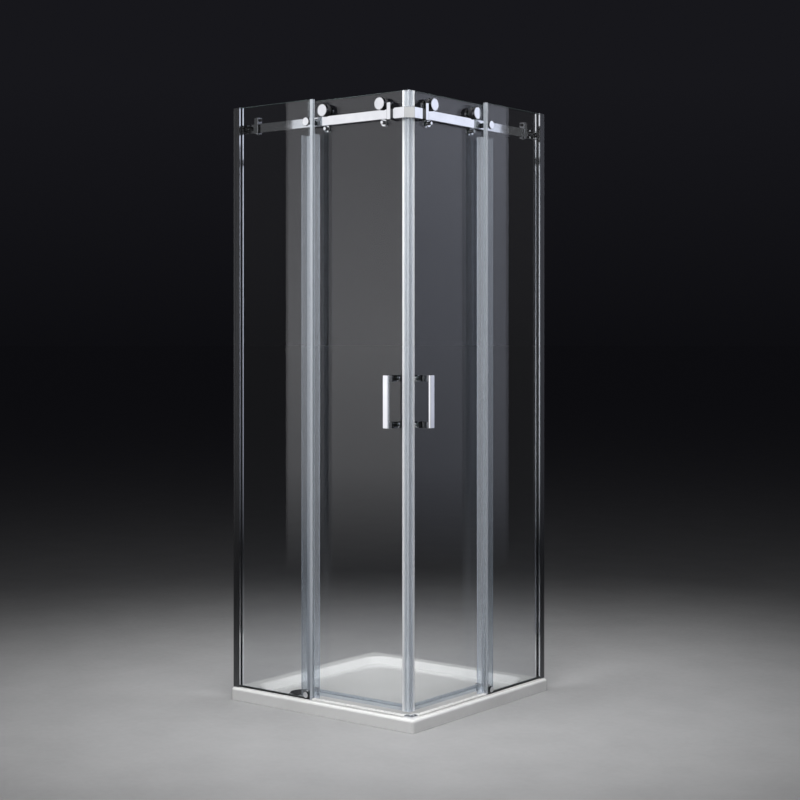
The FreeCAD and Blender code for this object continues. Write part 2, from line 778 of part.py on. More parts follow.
def make_bottom_guide():
    """Slotted block that keeps the door's foot in line, with its sliding liner."""
    start = bolt_place - size.guide_width / 2
    end = start + size.guide_width
    low = rim + size.guide_floor
    high = rim + size.guide_height
    slide_out = seal_out - size.liner_gap
    slide_in = seal_in + size.liner_gap
    slot_out = slide_out - size.liner_wall
    slot_in = slide_in + size.liner_wall
    block_in = slot_in + size.guide_inner_wall
    guide = side_body("bottom_guide")
    block = prism(guide, "block", "YZ_Plane", start, end, [[
        (fixed_in, rim), (block_in, rim), (block_in, high), (slot_in, high),
        (slot_in, low), (slot_out, low), (slot_out, high), (fixed_in, high)]])
    soften(guide, "block_edges", "Chamfer", block,
           lambda edge: lies_at(edge, high) and edge.BoundBox.YLength > size.guide_chamfer.value,
           size.guide_chamfer)
    prism(guide, "bolt_hole", "XZ_Plane", fixed_in - size.overrun, bolt_tip + size.fit_gap,
          circles=[(bolt_place, guide_bolt_axis, shank_bore)], cut=True)
    both_sides("bottom_guide", guide)

    liner = side_body("guide_liner")
    floor = low + size.liner_wall
    liner_top = high - size.guide_chamfer
    prism(liner, "channel", "YZ_Plane", start, end, [[
        (slot_out, low), (slot_in, low), (slot_in, liner_top), (slide_in, liner_top),
        (slide_in, floor), (slide_out, floor), (slide_out, liner_top), (slot_out, liner_top)]])
    both_sides("guide_liner", liner)


def make_threshold():
    """Low strip on the tray's rim under the doorway, and the corner piece between the two."""
    out = fixed_out + size.glass_thick / 2 - size.threshold_width / 2
    inner = out + size.threshold_width
    arm_end = out + size.threshold_corner_arm
    top = rim + size.threshold_height
    shoulder = top - size.threshold_bevel
    strip = side_body("threshold")
    prism(strip, "strip", "YZ_Plane", arm_end, fixed_edge - size.seal_wall, [[
        (out, rim), (inner, rim), (inner, shoulder), (inner - size.threshold_bevel, top),
        (out + size.threshold_bevel, top), (out, shoulder)]])
    both_sides("threshold", strip)

    corner = side_body("threshold_corner")
    corner_top = top + size.threshold_corner_rise
    angle = prism(corner, "angle", "XY_Plane", rim, corner_top, [[
        (out, out), (arm_end, out), (arm_end, inner), (inner, inner), (inner, arm_end), (out, arm_end)]])
    rounded = soften(corner, "nose", "Fillet", angle,
                     lambda edge: runs_along(edge, UP) and edge.BoundBox.Center.x < inner.value
                     and edge.BoundBox.Center.y < inner.value and edge.BoundBox.XMax < inner.value,
                     size.threshold_corner_radius)
    soften(corner, "top_edges", "Chamfer", rounded,
           lambda edge: lies_at(edge, corner_top), size.threshold_corner_rise)
    keep(corner, "threshold_corner")


def make_door_glass():
    """Sliding pane with the holes for its rollers, lift pins and handle."""
    glass = side_body("door_glass")
    prism(glass, "pane", "XZ_Plane", door_out, door_in,
          [rectangle(door_lead, door_trail, door_bottom, glass_top)])
    posts = (handle_low + size.post_height / 2, handle_high - size.post_height / 2)
    places = [(place, height) for place in (front_roller, rear_roller) for height in (axle_axis, pin_axis)]
    places += [(handle_place, height) for height in posts]
    prism(glass, "holes", "XZ_Plane", door_out - size.overrun, door_in + size.overrun,
          circles=[(*place, size.glass_hole_radius) for place in places], cut=True)
    both_sides("door_glass", glass)


def make_door_seals():
    """Mitred magnetic seal, trailing seal with its fin, and the sweep under the door."""
    leg_end = door_lead + size.magnet_leg
    tip_out = seal_out + size.mitre_gap
    tip_in = seal_in + size.mitre_gap
    magnet_front_out = door_out + size.mitre_gap + size.seal_wall
    magnet_front_in = door_in + size.mitre_gap + size.seal_wall
    magnet_back_out = magnet_front_out + size.magnet_thick
    magnet_back_in = magnet_front_in + size.magnet_thick
    magnet = side_body("magnet_seal")
    prism(magnet, "profile", "XY_Plane", seal_bottom, glass_top, [[
        (tip_out, seal_out), (leg_end, seal_out), (leg_end, door_out), (door_lead, door_out),
        (door_lead, door_in), (leg_end, door_in), (leg_end, seal_in), (tip_in, seal_in)]])
    prism(magnet, "magnet_slot", "XY_Plane", seal_bottom - size.overrun, glass_top + size.overrun, [[
        (magnet_front_out, door_out), (magnet_back_out, door_out),
        (magnet_back_in, door_in), (magnet_front_in, door_in)]], cut=True)
    both_sides("magnet_seal", magnet)

    gap = size.magnet_gap
    strip = side_body("magnet_strip")
    prism(strip, "strip", "XY_Plane", seal_bottom, glass_top, [[
        (magnet_front_out + gap + gap, door_out + gap), (magnet_back_out, door_out + gap),
        (magnet_back_in - gap - gap, door_in - gap), (magnet_front_in, door_in - gap)]])
    both_sides("magnet_strip", strip)

    web = door_trail + size.seal_wall
    trailing_leg = door_trail - size.trailing_leg
    fin_tip = fixed_in + size.fin_glass_gap
    trailing = side_body("trailing_seal")
    prism(trailing, "profile", "XY_Plane", seal_bottom, fin_top, [[
        (web, fin_tip), (web, seal_in), (trailing_leg, seal_in), (trailing_leg, door_in),
        (door_trail, door_in), (door_trail, door_out), (trailing_leg, door_out),
        (trailing_leg, seal_out), (door_trail, seal_out), (door_trail, fin_tip)]])
    both_sides("trailing_seal", trailing)

    leg_top = door_bottom + size.bottom_leg
    web_low = door_bottom - size.seal_wall
    middle = door_out + size.glass_thick / 2
    fin_out = middle - size.bottom_fin_thick / 2
    fin_in = middle + size.bottom_fin_thick / 2
    sweep = side_body("bottom_seal")
    prism(sweep, "profile", "YZ_Plane", leg_end, trailing_leg, [[
        (seal_out, web_low), (fin_out, web_low), (fin_out, seal_bottom), (fin_in, seal_bottom),
        (fin_in, web_low), (seal_in, web_low), (seal_in, leg_top), (door_in, leg_top),
        (door_in, door_bottom), (door_out, door_bottom), (door_out, leg_top), (seal_out, leg_top)]])
    both_sides("bottom_seal", sweep)


def make_handle():
    """Flat upright bar on two square posts, bolted through the glass to caps on the inside."""
    bar_in = door_out - size.handle_standoff
    bar_out = bar_in - size.handle_bar_thick
    near = handle_place - size.handle_width / 2
    far = near + size.handle_width
    bar = side_body("handle_bar")
    block = prism(bar, "bar", "XZ_Plane", bar_out, bar_in, [rectangle(near, far, handle_low, handle_high)])
    soften(bar, "bar_edges", "Fillet", block, lambda edge: True, size.handle_edge_radius)
    both_sides("handle_bar", bar)

    cap = door_in + size.handle_cap_thick
    shank_tip = door_out - size.handle_bolt_bite
    posts = []
    caps = []
    for name, low in (("lower", handle_low), ("upper", handle_high - size.post_height)):
        axis = low + size.post_height / 2
        post = side_body("handle_post_" + name)
        prism(post, "post", "XZ_Plane", bar_in, door_out,
              [rectangle(near, far, low, low + size.post_height)])
        prism(post, "bolt_hole", "XZ_Plane", shank_tip - size.fit_gap, door_out + size.overrun,
              circles=[(handle_place, axis, shank_bore)], cut=True)
        posts.append(post)
        bolt = side_body("handle_cap_" + name)
        turned(bolt, "cap_and_shank", "XY_Plane", [
            (0, shank_tip),
            (size.bolt_shank_radius, shank_tip),
            (size.bolt_shank_radius, door_out),
            (sleeve_radius, door_out),
            (sleeve_radius, door_in),
            (size.handle_cap_radius, door_in),
            (size.handle_cap_radius, cap - size.edge_bevel),
            (size.handle_cap_radius - size.edge_bevel, cap),
            (0, cap)], across=handle_place, lift=axis)
        caps.append(bolt)
    both_sides("handle_posts", group("handle_post_pair", posts))
    both_sides("handle_caps", group("handle_cap_pair", caps))


def make_rollers():
    """Grooved wheels on axles through the door glass, with their outer discs."""
    wheel_out = rail_mid - size.wheel_width / 2
    wheel_in = wheel_out + size.wheel_width
    groove_out = rail_out - size.groove_gap
    groove_in = rail_in + size.groove_gap
    disc_in = wheel_out - size.disc_gap
    disc_out = disc_in - size.disc_thick
    axle_tip = disc_in - size.axle_bore_depth
    shoulder = wheel_in + size.shoulder_gap
    cap = door_in + size.roller_cap_thick
    bore = size.axle_radius + size.fit_gap
    axles = []
    discs = []
    for name, place in (("front", front_roller), ("rear", rear_roller)):
        axle = side_body(name + "_roller_axle")
        turned(axle, "axle", "XY_Plane", [
            (0, axle_tip),
            (size.axle_radius, axle_tip),
            (size.axle_radius, shoulder),
            (size.shoulder_radius, shoulder),
            (size.shoulder_radius, door_out),
            (sleeve_radius, door_out),
            (sleeve_radius, door_in),
            (size.roller_cap_radius, door_in),
            (size.roller_cap_radius, cap - size.edge_bevel),
            (size.roller_cap_radius - size.edge_bevel, cap),
            (0, cap)], across=place, lift=axle_axis)
        axles.append(axle)
        disc = side_body(name + "_roller_disc")
        turned(disc, "disc", "XY_Plane", [
            (0, disc_out),
            (size.disc_radius - size.edge_bevel, disc_out),
            (size.disc_radius, disc_out + size.edge_bevel),
            (size.disc_radius, disc_in),
            (bore, disc_in),
            (bore, axle_tip),
            (0, axle_tip)], across=place, lift=axle_axis)
        discs.append(disc)
        wheel = side_body(name + "_wheel")
        turned(wheel, "wheel", "XY_Plane", [
            (bore, wheel_out),
            (wheel_radius, wheel_out),
            (wheel_radius, groove_out),
            (size.wheel_run_radius, groove_out),
            (size.wheel_run_radius, groove_in),
            (wheel_radius, groove_in),
            (wheel_radius, wheel_in),
            (bore, wheel_in)], across=place, lift=axle_axis)
        both_sides(name + "_wheel", wheel)
    both_sides("roller_axles", group("roller_axle_pair", axles))
    both_sides("roller_discs", group("roller_disc_pair", discs))


def make_lift_pins():
    """Pins under the rail that keep the door from being lifted off it."""
    tip = door_out - size.pin_reach
    flange = door_out - size.pin_flange_thick
    cap = door_in + size.pin_cap_thick
    pins = []
    for name, place in (("front", front_roller), ("rear", rear_roller)):
        pin = side_body(name + "_lift_pin")
        turned(pin, "pin", "XY_Plane", [
            (0, tip),
            (size.pin_radius - size.edge_bevel, tip),
            (size.pin_radius, tip + size.edge_bevel),
            (size.pin_radius, flange),
            (size.pin_flange_radius, flange),
            (size.pin_flange_radius, door_out),
            (sleeve_radius, door_out),
            (sleeve_radius, door_in),
            (size.pin_flange_radius, door_in),
            (size.pin_flange_radius, cap - size.edge_bevel),
            (size.pin_flange_radius - size.edge_bevel, cap),
            (0, cap)], across=place, lift=pin_axis)
        pins.append(pin)
    both_sides("lift_pins", group("lift_pin_pair", pins))


make_tray()
make_waste()
make_wall_profile()
make_fixed_panel()
make_rail()
make_corner_joint()
make_stops()
make_glass_bolts()
make_bottom_guide()
make_threshold()
make_door_glass()
make_door_seals()
make_handle()
make_rollers()
make_lift_pins()
doc.recompute()

for item in doc.Objects:
    if "Invalid" in item.State or "Error" in item.State:
        raise RuntimeError("%s did not build: %s" % (item.Label, item.State))
for node in nodes:
    if node.Shape.isNull() or not node.Shape.isValid() or not node.Shape.Solids:
        raise RuntimeError("%s has no valid solid" % node.Label)

os.makedirs("parts", exist_ok=True)
for node in nodes:
    node.Shape.exportStep("parts/%s.step" % node.Label)
print("wrote %d sub-parts" % len(nodes))
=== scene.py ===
import json
import math

import bmesh
import bpy
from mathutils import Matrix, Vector


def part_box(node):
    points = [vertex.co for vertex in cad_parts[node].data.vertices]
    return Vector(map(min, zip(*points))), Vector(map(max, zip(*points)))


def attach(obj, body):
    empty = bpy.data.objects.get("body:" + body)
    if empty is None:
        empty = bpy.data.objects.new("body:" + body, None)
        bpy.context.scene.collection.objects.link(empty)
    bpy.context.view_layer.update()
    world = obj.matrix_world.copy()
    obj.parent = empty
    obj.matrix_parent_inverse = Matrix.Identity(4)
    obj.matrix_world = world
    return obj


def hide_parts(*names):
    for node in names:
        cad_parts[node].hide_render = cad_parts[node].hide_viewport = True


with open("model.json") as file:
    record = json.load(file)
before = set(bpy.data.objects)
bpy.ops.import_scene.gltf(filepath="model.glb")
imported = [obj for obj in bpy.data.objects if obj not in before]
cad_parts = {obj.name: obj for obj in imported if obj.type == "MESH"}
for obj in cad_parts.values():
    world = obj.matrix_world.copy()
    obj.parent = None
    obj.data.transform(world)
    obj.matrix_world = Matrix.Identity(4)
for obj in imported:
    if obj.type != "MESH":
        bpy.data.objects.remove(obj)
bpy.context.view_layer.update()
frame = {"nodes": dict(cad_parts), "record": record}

# Looks of a corner entry shower enclosure.
# Pieces are drawn in millimetres in the frame of one side: u runs along the side from the front corner
# to the wall, v runs inwards from the tray's edge and w runs up from the floor.

MM = 0.001
SIDES = ("right", "left")
HALF_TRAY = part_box("tray")[1].x / MM
NODE_BODY = {node: body for body, nodes in frame["record"]["behaviour"]["bodies"].items() for node in nodes}

# Heights of the tray's rim, of the glass and of the seals' ends
RIM = 40
GLASS_TOP = 1960
FIN_TOP = 1850
SWEEP_LOW = 46
# Faces of the panes across the side, and their edges along it
FIXED_OUT, FIXED_IN = 21, 29
DOOR_OUT, DOOR_IN = 60, 68
FIXED_EDGE = 419
DOOR_LEAD, DOOR_TRAIL = 80, 474
# Sections of the seals
FIXED_LEG, TRAILING_LEG, MAGNET_LEG = 10, 12, 6
SEAL_WALL = 1.5
GRIP_GAP = 0.15
# Axes of the fittings
FRONT_ROLLER, REAR_ROLLER = 157, 390
AXLE_HEIGHT, PIN_HEIGHT = 1923.5, 1866.5
BOLT_PLACE = 444
RAIL_HEIGHT, GUIDE_BOLT_HEIGHT = 1890, 55
HANDLE_PLACE = 116
HANDLE_POST_HEIGHTS = (928, 1072)


def axes(side):
    """Origin and the directions of u, v and w of one side, in metres of the whole part."""
    corner = Vector((HALF_TRAY, -HALF_TRAY, 0)) * MM
    up = Vector((0, 0, MM))
    if side == "right":
        return corner, Vector((0, MM, 0)), Vector((-MM, 0, 0)), up
    return corner, Vector((-MM, 0, 0)), Vector((0, MM, 0)), up


def spot(side, u, v, w):
    """A point of one side's frame in metres of the whole part."""
    origin, along, inwards, up = axes(side)
    return origin + along * u + inwards * v + up * w


# Finishes


def add(tree, kind, values=None, **options):
    """Adds a node, sets its options, and fills its inputs with constants or links."""
    node = tree.nodes.new(kind)
    for name, value in options.items():
        setattr(node, name, value)
    for name, value in (values or {}).items():
        if isinstance(value, bpy.types.NodeSocket):
            tree.links.new(value, node.inputs[name])
        else:
            node.inputs[name].default_value = value
    return node


def new_finish(name):
    """An empty finish and its node tree."""
    finish = bpy.data.materials.new(name)
    finish.use_nodes = True
    finish.node_tree.nodes.clear()
    return finish, finish.node_tree


def grain(tree, cycles, stretch=(1, 1, 1), detail=3.0):
    """Noise over the piece's own coordinates, so many cycles to the metre, stretched along its axes."""
    place = add(tree, "ShaderNodeTexCoord").outputs["Object"]
    mapped = add(tree, "ShaderNodeMapping", {"Vector": place, "Scale": stretch}).outputs[0]
    return add(tree, "ShaderNodeTexNoise", {"Vector": mapped, "Scale": cycles, "Detail": detail}).outputs[0]


def between(tree, pattern, low, high, start=0.3, end=0.7):
    """A number that follows a pattern from low to high."""
    return add(tree, "ShaderNodeMapRange", {
        "Value": pattern, "From Min": start, "From Max": end, "To Min": low, "To Max": high}).outputs[0]


def shades(tree, pattern, dark, light):
    """A colour that follows a pattern from dark to light."""
    ramp = add(tree, "ShaderNodeValToRGB", {"Fac": pattern})
    ramp.color_ramp.elements[0].position = 0.3
    ramp.color_ramp.elements[1].position = 0.7
    ramp.color_ramp.elements[0].color = (*dark, 1)
    ramp.color_ramp.elements[1].color = (*light, 1)
    return ramp.outputs["Color"]


def relief(tree, pattern, strength, depth):
    """Surface bumps that follow a pattern."""
    values = {"Height": pattern, "Strength": strength, "Distance": depth}
    return add(tree, "ShaderNodeBump", values).outputs[0]


def close_tree(tree, shader):
    """Sends a shader to the finish's output."""
    add(tree, "ShaderNodeOutputMaterial", {"Surface": shader})


def surface_finish(name, dark, light, shine, cycles, bump, stretch=(1, 1, 1), **fixed):
    """Opaque finish whose tone, gloss and relief all follow noise at their own scales."""
    finish, tree = new_finish(name)
    tone = grain(tree, cycles[0], stretch)
    gloss = grain(tree, cycles[1], stretch)
    fine = grain(tree, cycles[2], stretch, detail=4.0)
    values = {
        "Base Color": shades(tree, tone, dark, light),
        "Roughness": between(tree, gloss, *shine),
        "Normal": relief(tree, fine, *bump)}
    values.update(fixed)
    close_tree(tree, add(tree, "ShaderNodeBsdfPrincipled", values).outputs[0])
    return finish


def reflecting_share(tree):
    """Share of light that a glass face reflects from either side: a little head on, all when grazing."""
    head_on, steepness = 0.036, 5.0
    facing = add(tree, "ShaderNodeLayerWeight", {"Blend": 0.5}).outputs["Facing"]
    steep = add(tree, "ShaderNodeMath", {0: facing, 1: steepness}, operation="POWER").outputs[0]
    return add(tree, "ShaderNodeMath", {
        0: steep, 1: 1 - head_on, 2: head_on}, operation="MULTIPLY_ADD").outputs[0]


def clear_glass_finish():
    """Clear toughened glass, seen straight through, with faint rolling waves in its reflections."""
    finish, tree = new_finish("clear_toughened_glass")
    wave = relief(tree, grain(tree, 2.2, stretch=(1, 1, 0.4), detail=1.0), strength=0.02, depth=0.002)
    tint = shades(tree, grain(tree, 1.3), (0.915, 0.923, 0.93), (0.94, 0.946, 0.95))
    through = add(tree, "ShaderNodeBsdfTransparent", {"Color": tint})
    mirror = add(tree, "ShaderNodeBsdfGlossy", {"Color": (1, 1, 1, 1), "Roughness": 0.0, "Normal": wave})
    pane = add(tree, "ShaderNodeMixShader", {
        0: reflecting_share(tree), 1: through.outputs[0], 2: mirror.outputs[0]})
    close_tree(tree, pane.outputs[0])
    return finish


def glass_edge_finish():
    """Ground and polished edge of the glass, deep green-grey."""
    finish, tree = new_finish("polished_glass_edge")
    streak = grain(tree, 120, detail=4.0)
    body = add(tree, "ShaderNodeBsdfPrincipled", {
        "Base Color": shades(tree, streak, (0.05, 0.07, 0.07), (0.10, 0.125, 0.125)),
        "Roughness": between(tree, streak, 0.08, 0.2)})
    through = add(tree, "ShaderNodeBsdfTransparent", {"Color": (0.62, 0.76, 0.75, 1)})
    share = between(tree, grain(tree, 9), 0.7, 0.85)
    edge = add(tree, "ShaderNodeMixShader", {0: share, 1: through.outputs[0], 2: body.outputs[0]})
    close_tree(tree, edge.outputs[0])
    return finish


def seal_finish(name, stretch, cover, dark=(0.78, 0.82, 0.88), light=(0.85, 0.88, 0.93)):
    """Soft plastic with drawing marks along its length, which hides a share of what is behind it."""
    finish, tree = new_finish(name)
    marks = grain(tree, 260, stretch)
    cloud = grain(tree, 14, stretch, detail=2.0)
    body = add(tree, "ShaderNodeBsdfPrincipled", {
        "Base Color": shades(tree, cloud, dark, light),
        "Roughness": between(tree, marks, 0.14, 0.26),
        "IOR": 1.5,
        "Normal": relief(tree, marks, strength=0.1, depth=0.0003)})
    through = add(tree, "ShaderNodeBsdfTransparent", {"Color": (0.9, 0.93, 0.96, 1)})
    seal = add(tree, "ShaderNodeMixShader", {
        0: between(tree, cloud, *cover), 1: through.outputs[0], 2: body.outputs[0]})
    close_tree(tree, seal.outputs[0])
    return finish


ALONG_X, ALONG_Y, UPRIGHT = (0.02, 1, 1), (1, 0.02, 1), (1, 1, 0.02)
FINISHES = {
    "tray_white": surface_finish(
        "gloss_white_acrylic", dark=(0.80, 0.80, 0.79), light=(0.86, 0.86, 0.855), shine=(0.10, 0.18),
        cycles=(3, 9, 240), bump=(0.03, 0.0004), **{"Coat Weight": 0.4, "Coat Roughness": 0.06}),
    "chrome": surface_finish(
        "bright_chrome_plate", dark=(0.74, 0.75, 0.77), light=(0.83, 0.84, 0.85), shine=(0.02, 0.06),
        cycles=(16, 60, 300), bump=(0.01, 0.0002), Metallic=1.0),
    # Chrome drawn far darker than chrome is: painted shade, standing for chrome that mirrors the dark room.
    "shaded_chrome": surface_finish(
        "smoked_chrome_plate", dark=(0.12, 0.122, 0.128), light=(0.17, 0.172, 0.178), shine=(0.03, 0.08),
        cycles=(16, 60, 300), bump=(0.01, 0.0002), Metallic=1.0),
    # Aluminium drawn dark: painted shade for the wall profile's outer face, which mirrors the dark room; its
    # lips keep the bright polished finish.
    "painted_shade_aluminium": surface_finish(
        "drawn_satin_aluminium", dark=(0.11, 0.112, 0.118), light=(0.15, 0.152, 0.158), shine=(0.2, 0.3),
        cycles=(30, 420, 900), bump=(0.02, 0.0002), stretch=(1, 1, 0.002), Metallic=1.0),
    "polished_aluminium": surface_finish(
        "drawn_polished_aluminium", dark=(0.74, 0.75, 0.77), light=(0.82, 0.83, 0.85), shine=(0.05, 0.1),
        cycles=(30, 420, 900), bump=(0.004, 0.0002), stretch=(1, 1, 0.002), Metallic=1.0),
    "steel": surface_finish(
        "satin_stainless_steel", dark=(0.50, 0.51, 0.52), light=(0.62, 0.63, 0.64), shine=(0.2, 0.34),
        cycles=(40, 260, 900), bump=(0.08, 0.0002), Metallic=1.0),
    "magnet": surface_finish(
        "white_magnet_sleeve", dark=(0.86, 0.87, 0.89), light=(0.93, 0.94, 0.95), shine=(0.3, 0.45),
        cycles=(20, 120, 500), bump=(0.06, 0.0002), stretch=(1, 1, 0.05)),
    "rubber": surface_finish(
        "matt_black_rubber", dark=(0.012, 0.012, 0.014), light=(0.028, 0.028, 0.03), shine=(0.5, 0.7),
        cycles=(50, 180, 800), bump=(0.2, 0.0003)),
    "black_nylon": surface_finish(
        "moulded_black_nylon", dark=(0.014, 0.014, 0.016), light=(0.03, 0.03, 0.032), shine=(0.34, 0.5),
        cycles=(60, 200, 700), bump=(0.12, 0.0002)),
    "white_nylon": surface_finish(
        "moulded_white_nylon", dark=(0.74, 0.74, 0.73), light=(0.82, 0.82, 0.815), shine=(0.22, 0.36),
        cycles=(12, 90, 600), bump=(0.06, 0.0002)),
    "glass": clear_glass_finish(),
    "glass_edge": glass_edge_finish(),
    "clear_seal": seal_finish("clear_soft_plastic", UPRIGHT, cover=(0.17, 0.25)),
    "frosted_seal": seal_finish("frosted_soft_plastic", UPRIGHT, cover=(0.4, 0.5)),
    "milky_seal": seal_finish(
        "milky_soft_plastic", UPRIGHT, cover=(0.8, 0.9), dark=(0.9, 0.92, 0.95), light=(0.94, 0.955, 0.975)),
    # Glazing strips drawn near black, where NODE_SLOT gives them clear seal: a dark line along the glass edge
    # between the wall profile's lips.
    "glazing": seal_finish(
        "grey_glazing_plastic", UPRIGHT, cover=(0.6, 0.75),
        dark=(0.03, 0.03, 0.035), light=(0.06, 0.06, 0.065)),
    "right_sweep": seal_finish("right_sweep_soft_plastic", ALONG_Y, cover=(0.14, 0.22)),
    "left_sweep": seal_finish("left_sweep_soft_plastic", ALONG_X, cover=(0.14, 0.22)),
}

NODE_SLOT = {
    "tray": "tray_white", "waste_flange": "chrome", "waste_cover": "chrome", "waste_gasket": "rubber",
    "waste_nut": "black_nylon", "rail_corner_joint": "chrome", "threshold_corner": "chrome",
    "glass_bolts": "chrome", "stop_screws": "steel", "bracket_screws": "steel", "stop_bumpers": "rubber",
    "setting_strips": "rubber", "wall_profile": "polished_aluminium", "glazing_strips": "clear_seal",
    "fixed_glass": "glass", "door_glass": "glass", "fixed_seal": "clear_seal", "rail": "chrome",
    "rail_standoff": "chrome", "rail_wall_bracket": "chrome", "rail_stops": "chrome",
    "bottom_guide": "chrome", "guide_liner": "white_nylon", "threshold": "white_nylon",
    "magnet_seal": "clear_seal", "magnet_strip": "magnet", "trailing_seal": "clear_seal",
    "bottom_seal": "clear_seal", "handle_bar": "chrome", "handle_posts": "chrome",
    "handle_caps": "chrome", "front_wheel": "black_nylon", "rear_wheel": "black_nylon",
    "roller_axles": "steel", "roller_discs": "chrome", "lift_pins": "chrome",
}


def slot_of(node):
    """The record's finish of a CAD node."""
    for side in SIDES:
        node = node.removeprefix(side + "_")
    return NODE_SLOT[node]


# Making of meshes


def shade(bm, sharp_angle=35):
    """Smooth shading that breaks at sharp edges."""
    for face in bm.faces:
        face.smooth = True
    for edge in bm.edges:
        edge.smooth = len(edge.link_faces) == 2 and edge.calc_face_angle(0) < math.radians(sharp_angle)


def settled_mesh(piece):
    """The piece's mesh with its modifiers worked in."""
    graph = bpy.context.evaluated_depsgraph_get()
    mesh = bpy.data.meshes.new_from_object(piece.evaluated_get(graph), depsgraph=graph)
    mesh.name = piece.name
    return mesh


def settle(piece):
    """Works the modifiers into the mesh and removes them."""
    mesh = settled_mesh(piece)
    piece.modifiers.clear()
    piece.data = mesh


def even_normals(piece):
    """Keeps large flat faces flat beside rounded edges."""
    evener = piece.modifiers.new("even_normals", "WEIGHTED_NORMAL")
    evener.keep_sharp = True
    evener.weight = 90
    settle(piece)


def stand_for(name, bm, nodes, finishes=(), turn_out=True):
    """Makes a piece of a mesh, in place of CAD nodes, with their body and finish."""
    if turn_out:
        bmesh.ops.recalc_face_normals(bm, faces=bm.faces)
    shade(bm)
    mesh = bpy.data.meshes.new(name)
    bm.to_mesh(mesh)
    bm.free()
    slot = slot_of(nodes[0])
    for finish in finishes or (slot,):
        mesh.materials.append(FINISHES[finish])
    piece = bpy.data.objects.new(name, mesh)
    bpy.context.collection.objects.link(piece)
    even_normals(piece)
    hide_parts(*nodes)
    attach(piece, NODE_BODY[nodes[0]])
    return piece


def to_side(bm, side):
    """Moves a mesh from a side's frame to the whole part."""
    for vertex in bm.verts:
        vertex.co = spot(side, *vertex.co)
    return bm


def dressed(bm, number):
    """Gives every face of a mesh one of its piece's finishes, by its number."""
    for face in bm.faces:
        face.material_index = number
    return bm


def by_facing(bm, side):
    """Gives the first finish to faces that look in or out across the side, and the second to all others."""
    facing = 0.7
    inwards = axes(side)[2].normalized()
    bm.normal_update()
    for face in bm.faces:
        face.material_index = 0 if abs(face.normal.dot(inwards)) > facing else 1
    return bm


def merged_copy(node):
    """A CAD node's mesh with its triangles joined and its flat faces made whole."""
    bm = bmesh.new()
    bm.from_mesh(frame["nodes"][node].data)
    bmesh.ops.remove_doubles(bm, verts=bm.verts, dist=0.001 * MM)
    bmesh.ops.dissolve_limit(bm, angle_limit=math.radians(0.3), verts=bm.verts, edges=bm.edges)
    return bm


def eased_piece(node, ease, finishes=(), side=None):
    """A CAD node with its sharp edges eased, in one finish, or in two by the way that its faces look."""
    sharp = math.radians(40)
    bm = merged_copy(node)
    if ease:
        edges = [edge for edge in bm.edges if len(edge.link_faces) == 2 and edge.calc_face_angle(0) > sharp]
        bmesh.ops.bevel(bm, geom=edges, offset=ease * MM, segments=2, profile=0.5,
                        affect="EDGES", clamp_overlap=True)
    if len(finishes) == 2:
        by_facing(bm, side)
    return stand_for(node + "_eased", bm, [node], finishes, turn_out=False)


def pane(node, arris=0.8):
    """Glass pane with ground arrises round its outline and a finish of their own on its edges."""
    long_enough, sharp, flat = 200 * MM, math.radians(60), 0.95
    bm = merged_copy(node)
    spans = [high - low for low, high in zip(*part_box(node))]
    thin = spans.index(min(spans))
    outline = [edge for edge in bm.edges if len(edge.link_faces) == 2
               and edge.calc_length() > long_enough and edge.calc_face_angle(0) > sharp]
    bmesh.ops.bevel(bm, geom=outline, offset=arris * MM, segments=1, affect="EDGES", clamp_overlap=True)
    for face in bm.faces:
        face.material_index = 0 if abs(face.normal[thin]) > flat else 1
    return stand_for(node + "_pane", bm, [node], ("glass", "glass_edge"), turn_out=False)


def rounded(corners, steps=4):
    """Outline whose corners, given as x, y and radius, are rounded."""
    points = []
    count = len(corners)
    for index, (x, y, radius) in enumerate(corners):
        corner = Vector((x, y))
        if not radius:
            points.append(corner)
            continue
        before = (Vector(corners[index - 1][:2]) - corner).normalized()
        after = (Vector(corners[(index + 1) % count][:2]) - corner).normalized()
        half = math.acos(max(-1, min(1, before.dot(after)))) / 2
        centre = corner + (before + after).normalized() * (radius / math.sin(half))
        reach = radius / math.tan(half)
        start = corner + before * reach - centre
        end = corner + after * reach - centre
        for step in range(steps + 1):
            share = step / steps
            direction = (start * (1 - share) + end * share).normalized()
            points.append(centre + direction * radius)
    return points


TURN_STEPS = 48


def turned(outline, steps=TURN_STEPS, closed=False):
    """Mesh of an outline of radius and v points turned about the v axis."""
    bm = bmesh.new()
    rings = []
    for radius, v in outline:
        if radius < 1e-6:
            rings.append([bm.verts.new((0, v, 0))])
            continue
        turns = [math.tau * step / steps for step in range(steps)]
        rings.append([bm.verts.new((radius * math.cos(turn), v, radius * math.sin(turn))) for turn in turns])
    pairs = list(zip(rings, rings[1:]))
    if closed:
        pairs.append((rings[-1], rings[0]))
    for first, second in pairs:
        for step in range(steps):
            after = (step + 1) % steps
            loop = [first[step % len(first)], first[after % len(first)],
                    second[after % len(second)], second[step % len(second)]]
            corners = list(dict.fromkeys(loop))
            if len(corners) > 2:
                bm.faces.new(corners)
    return bm


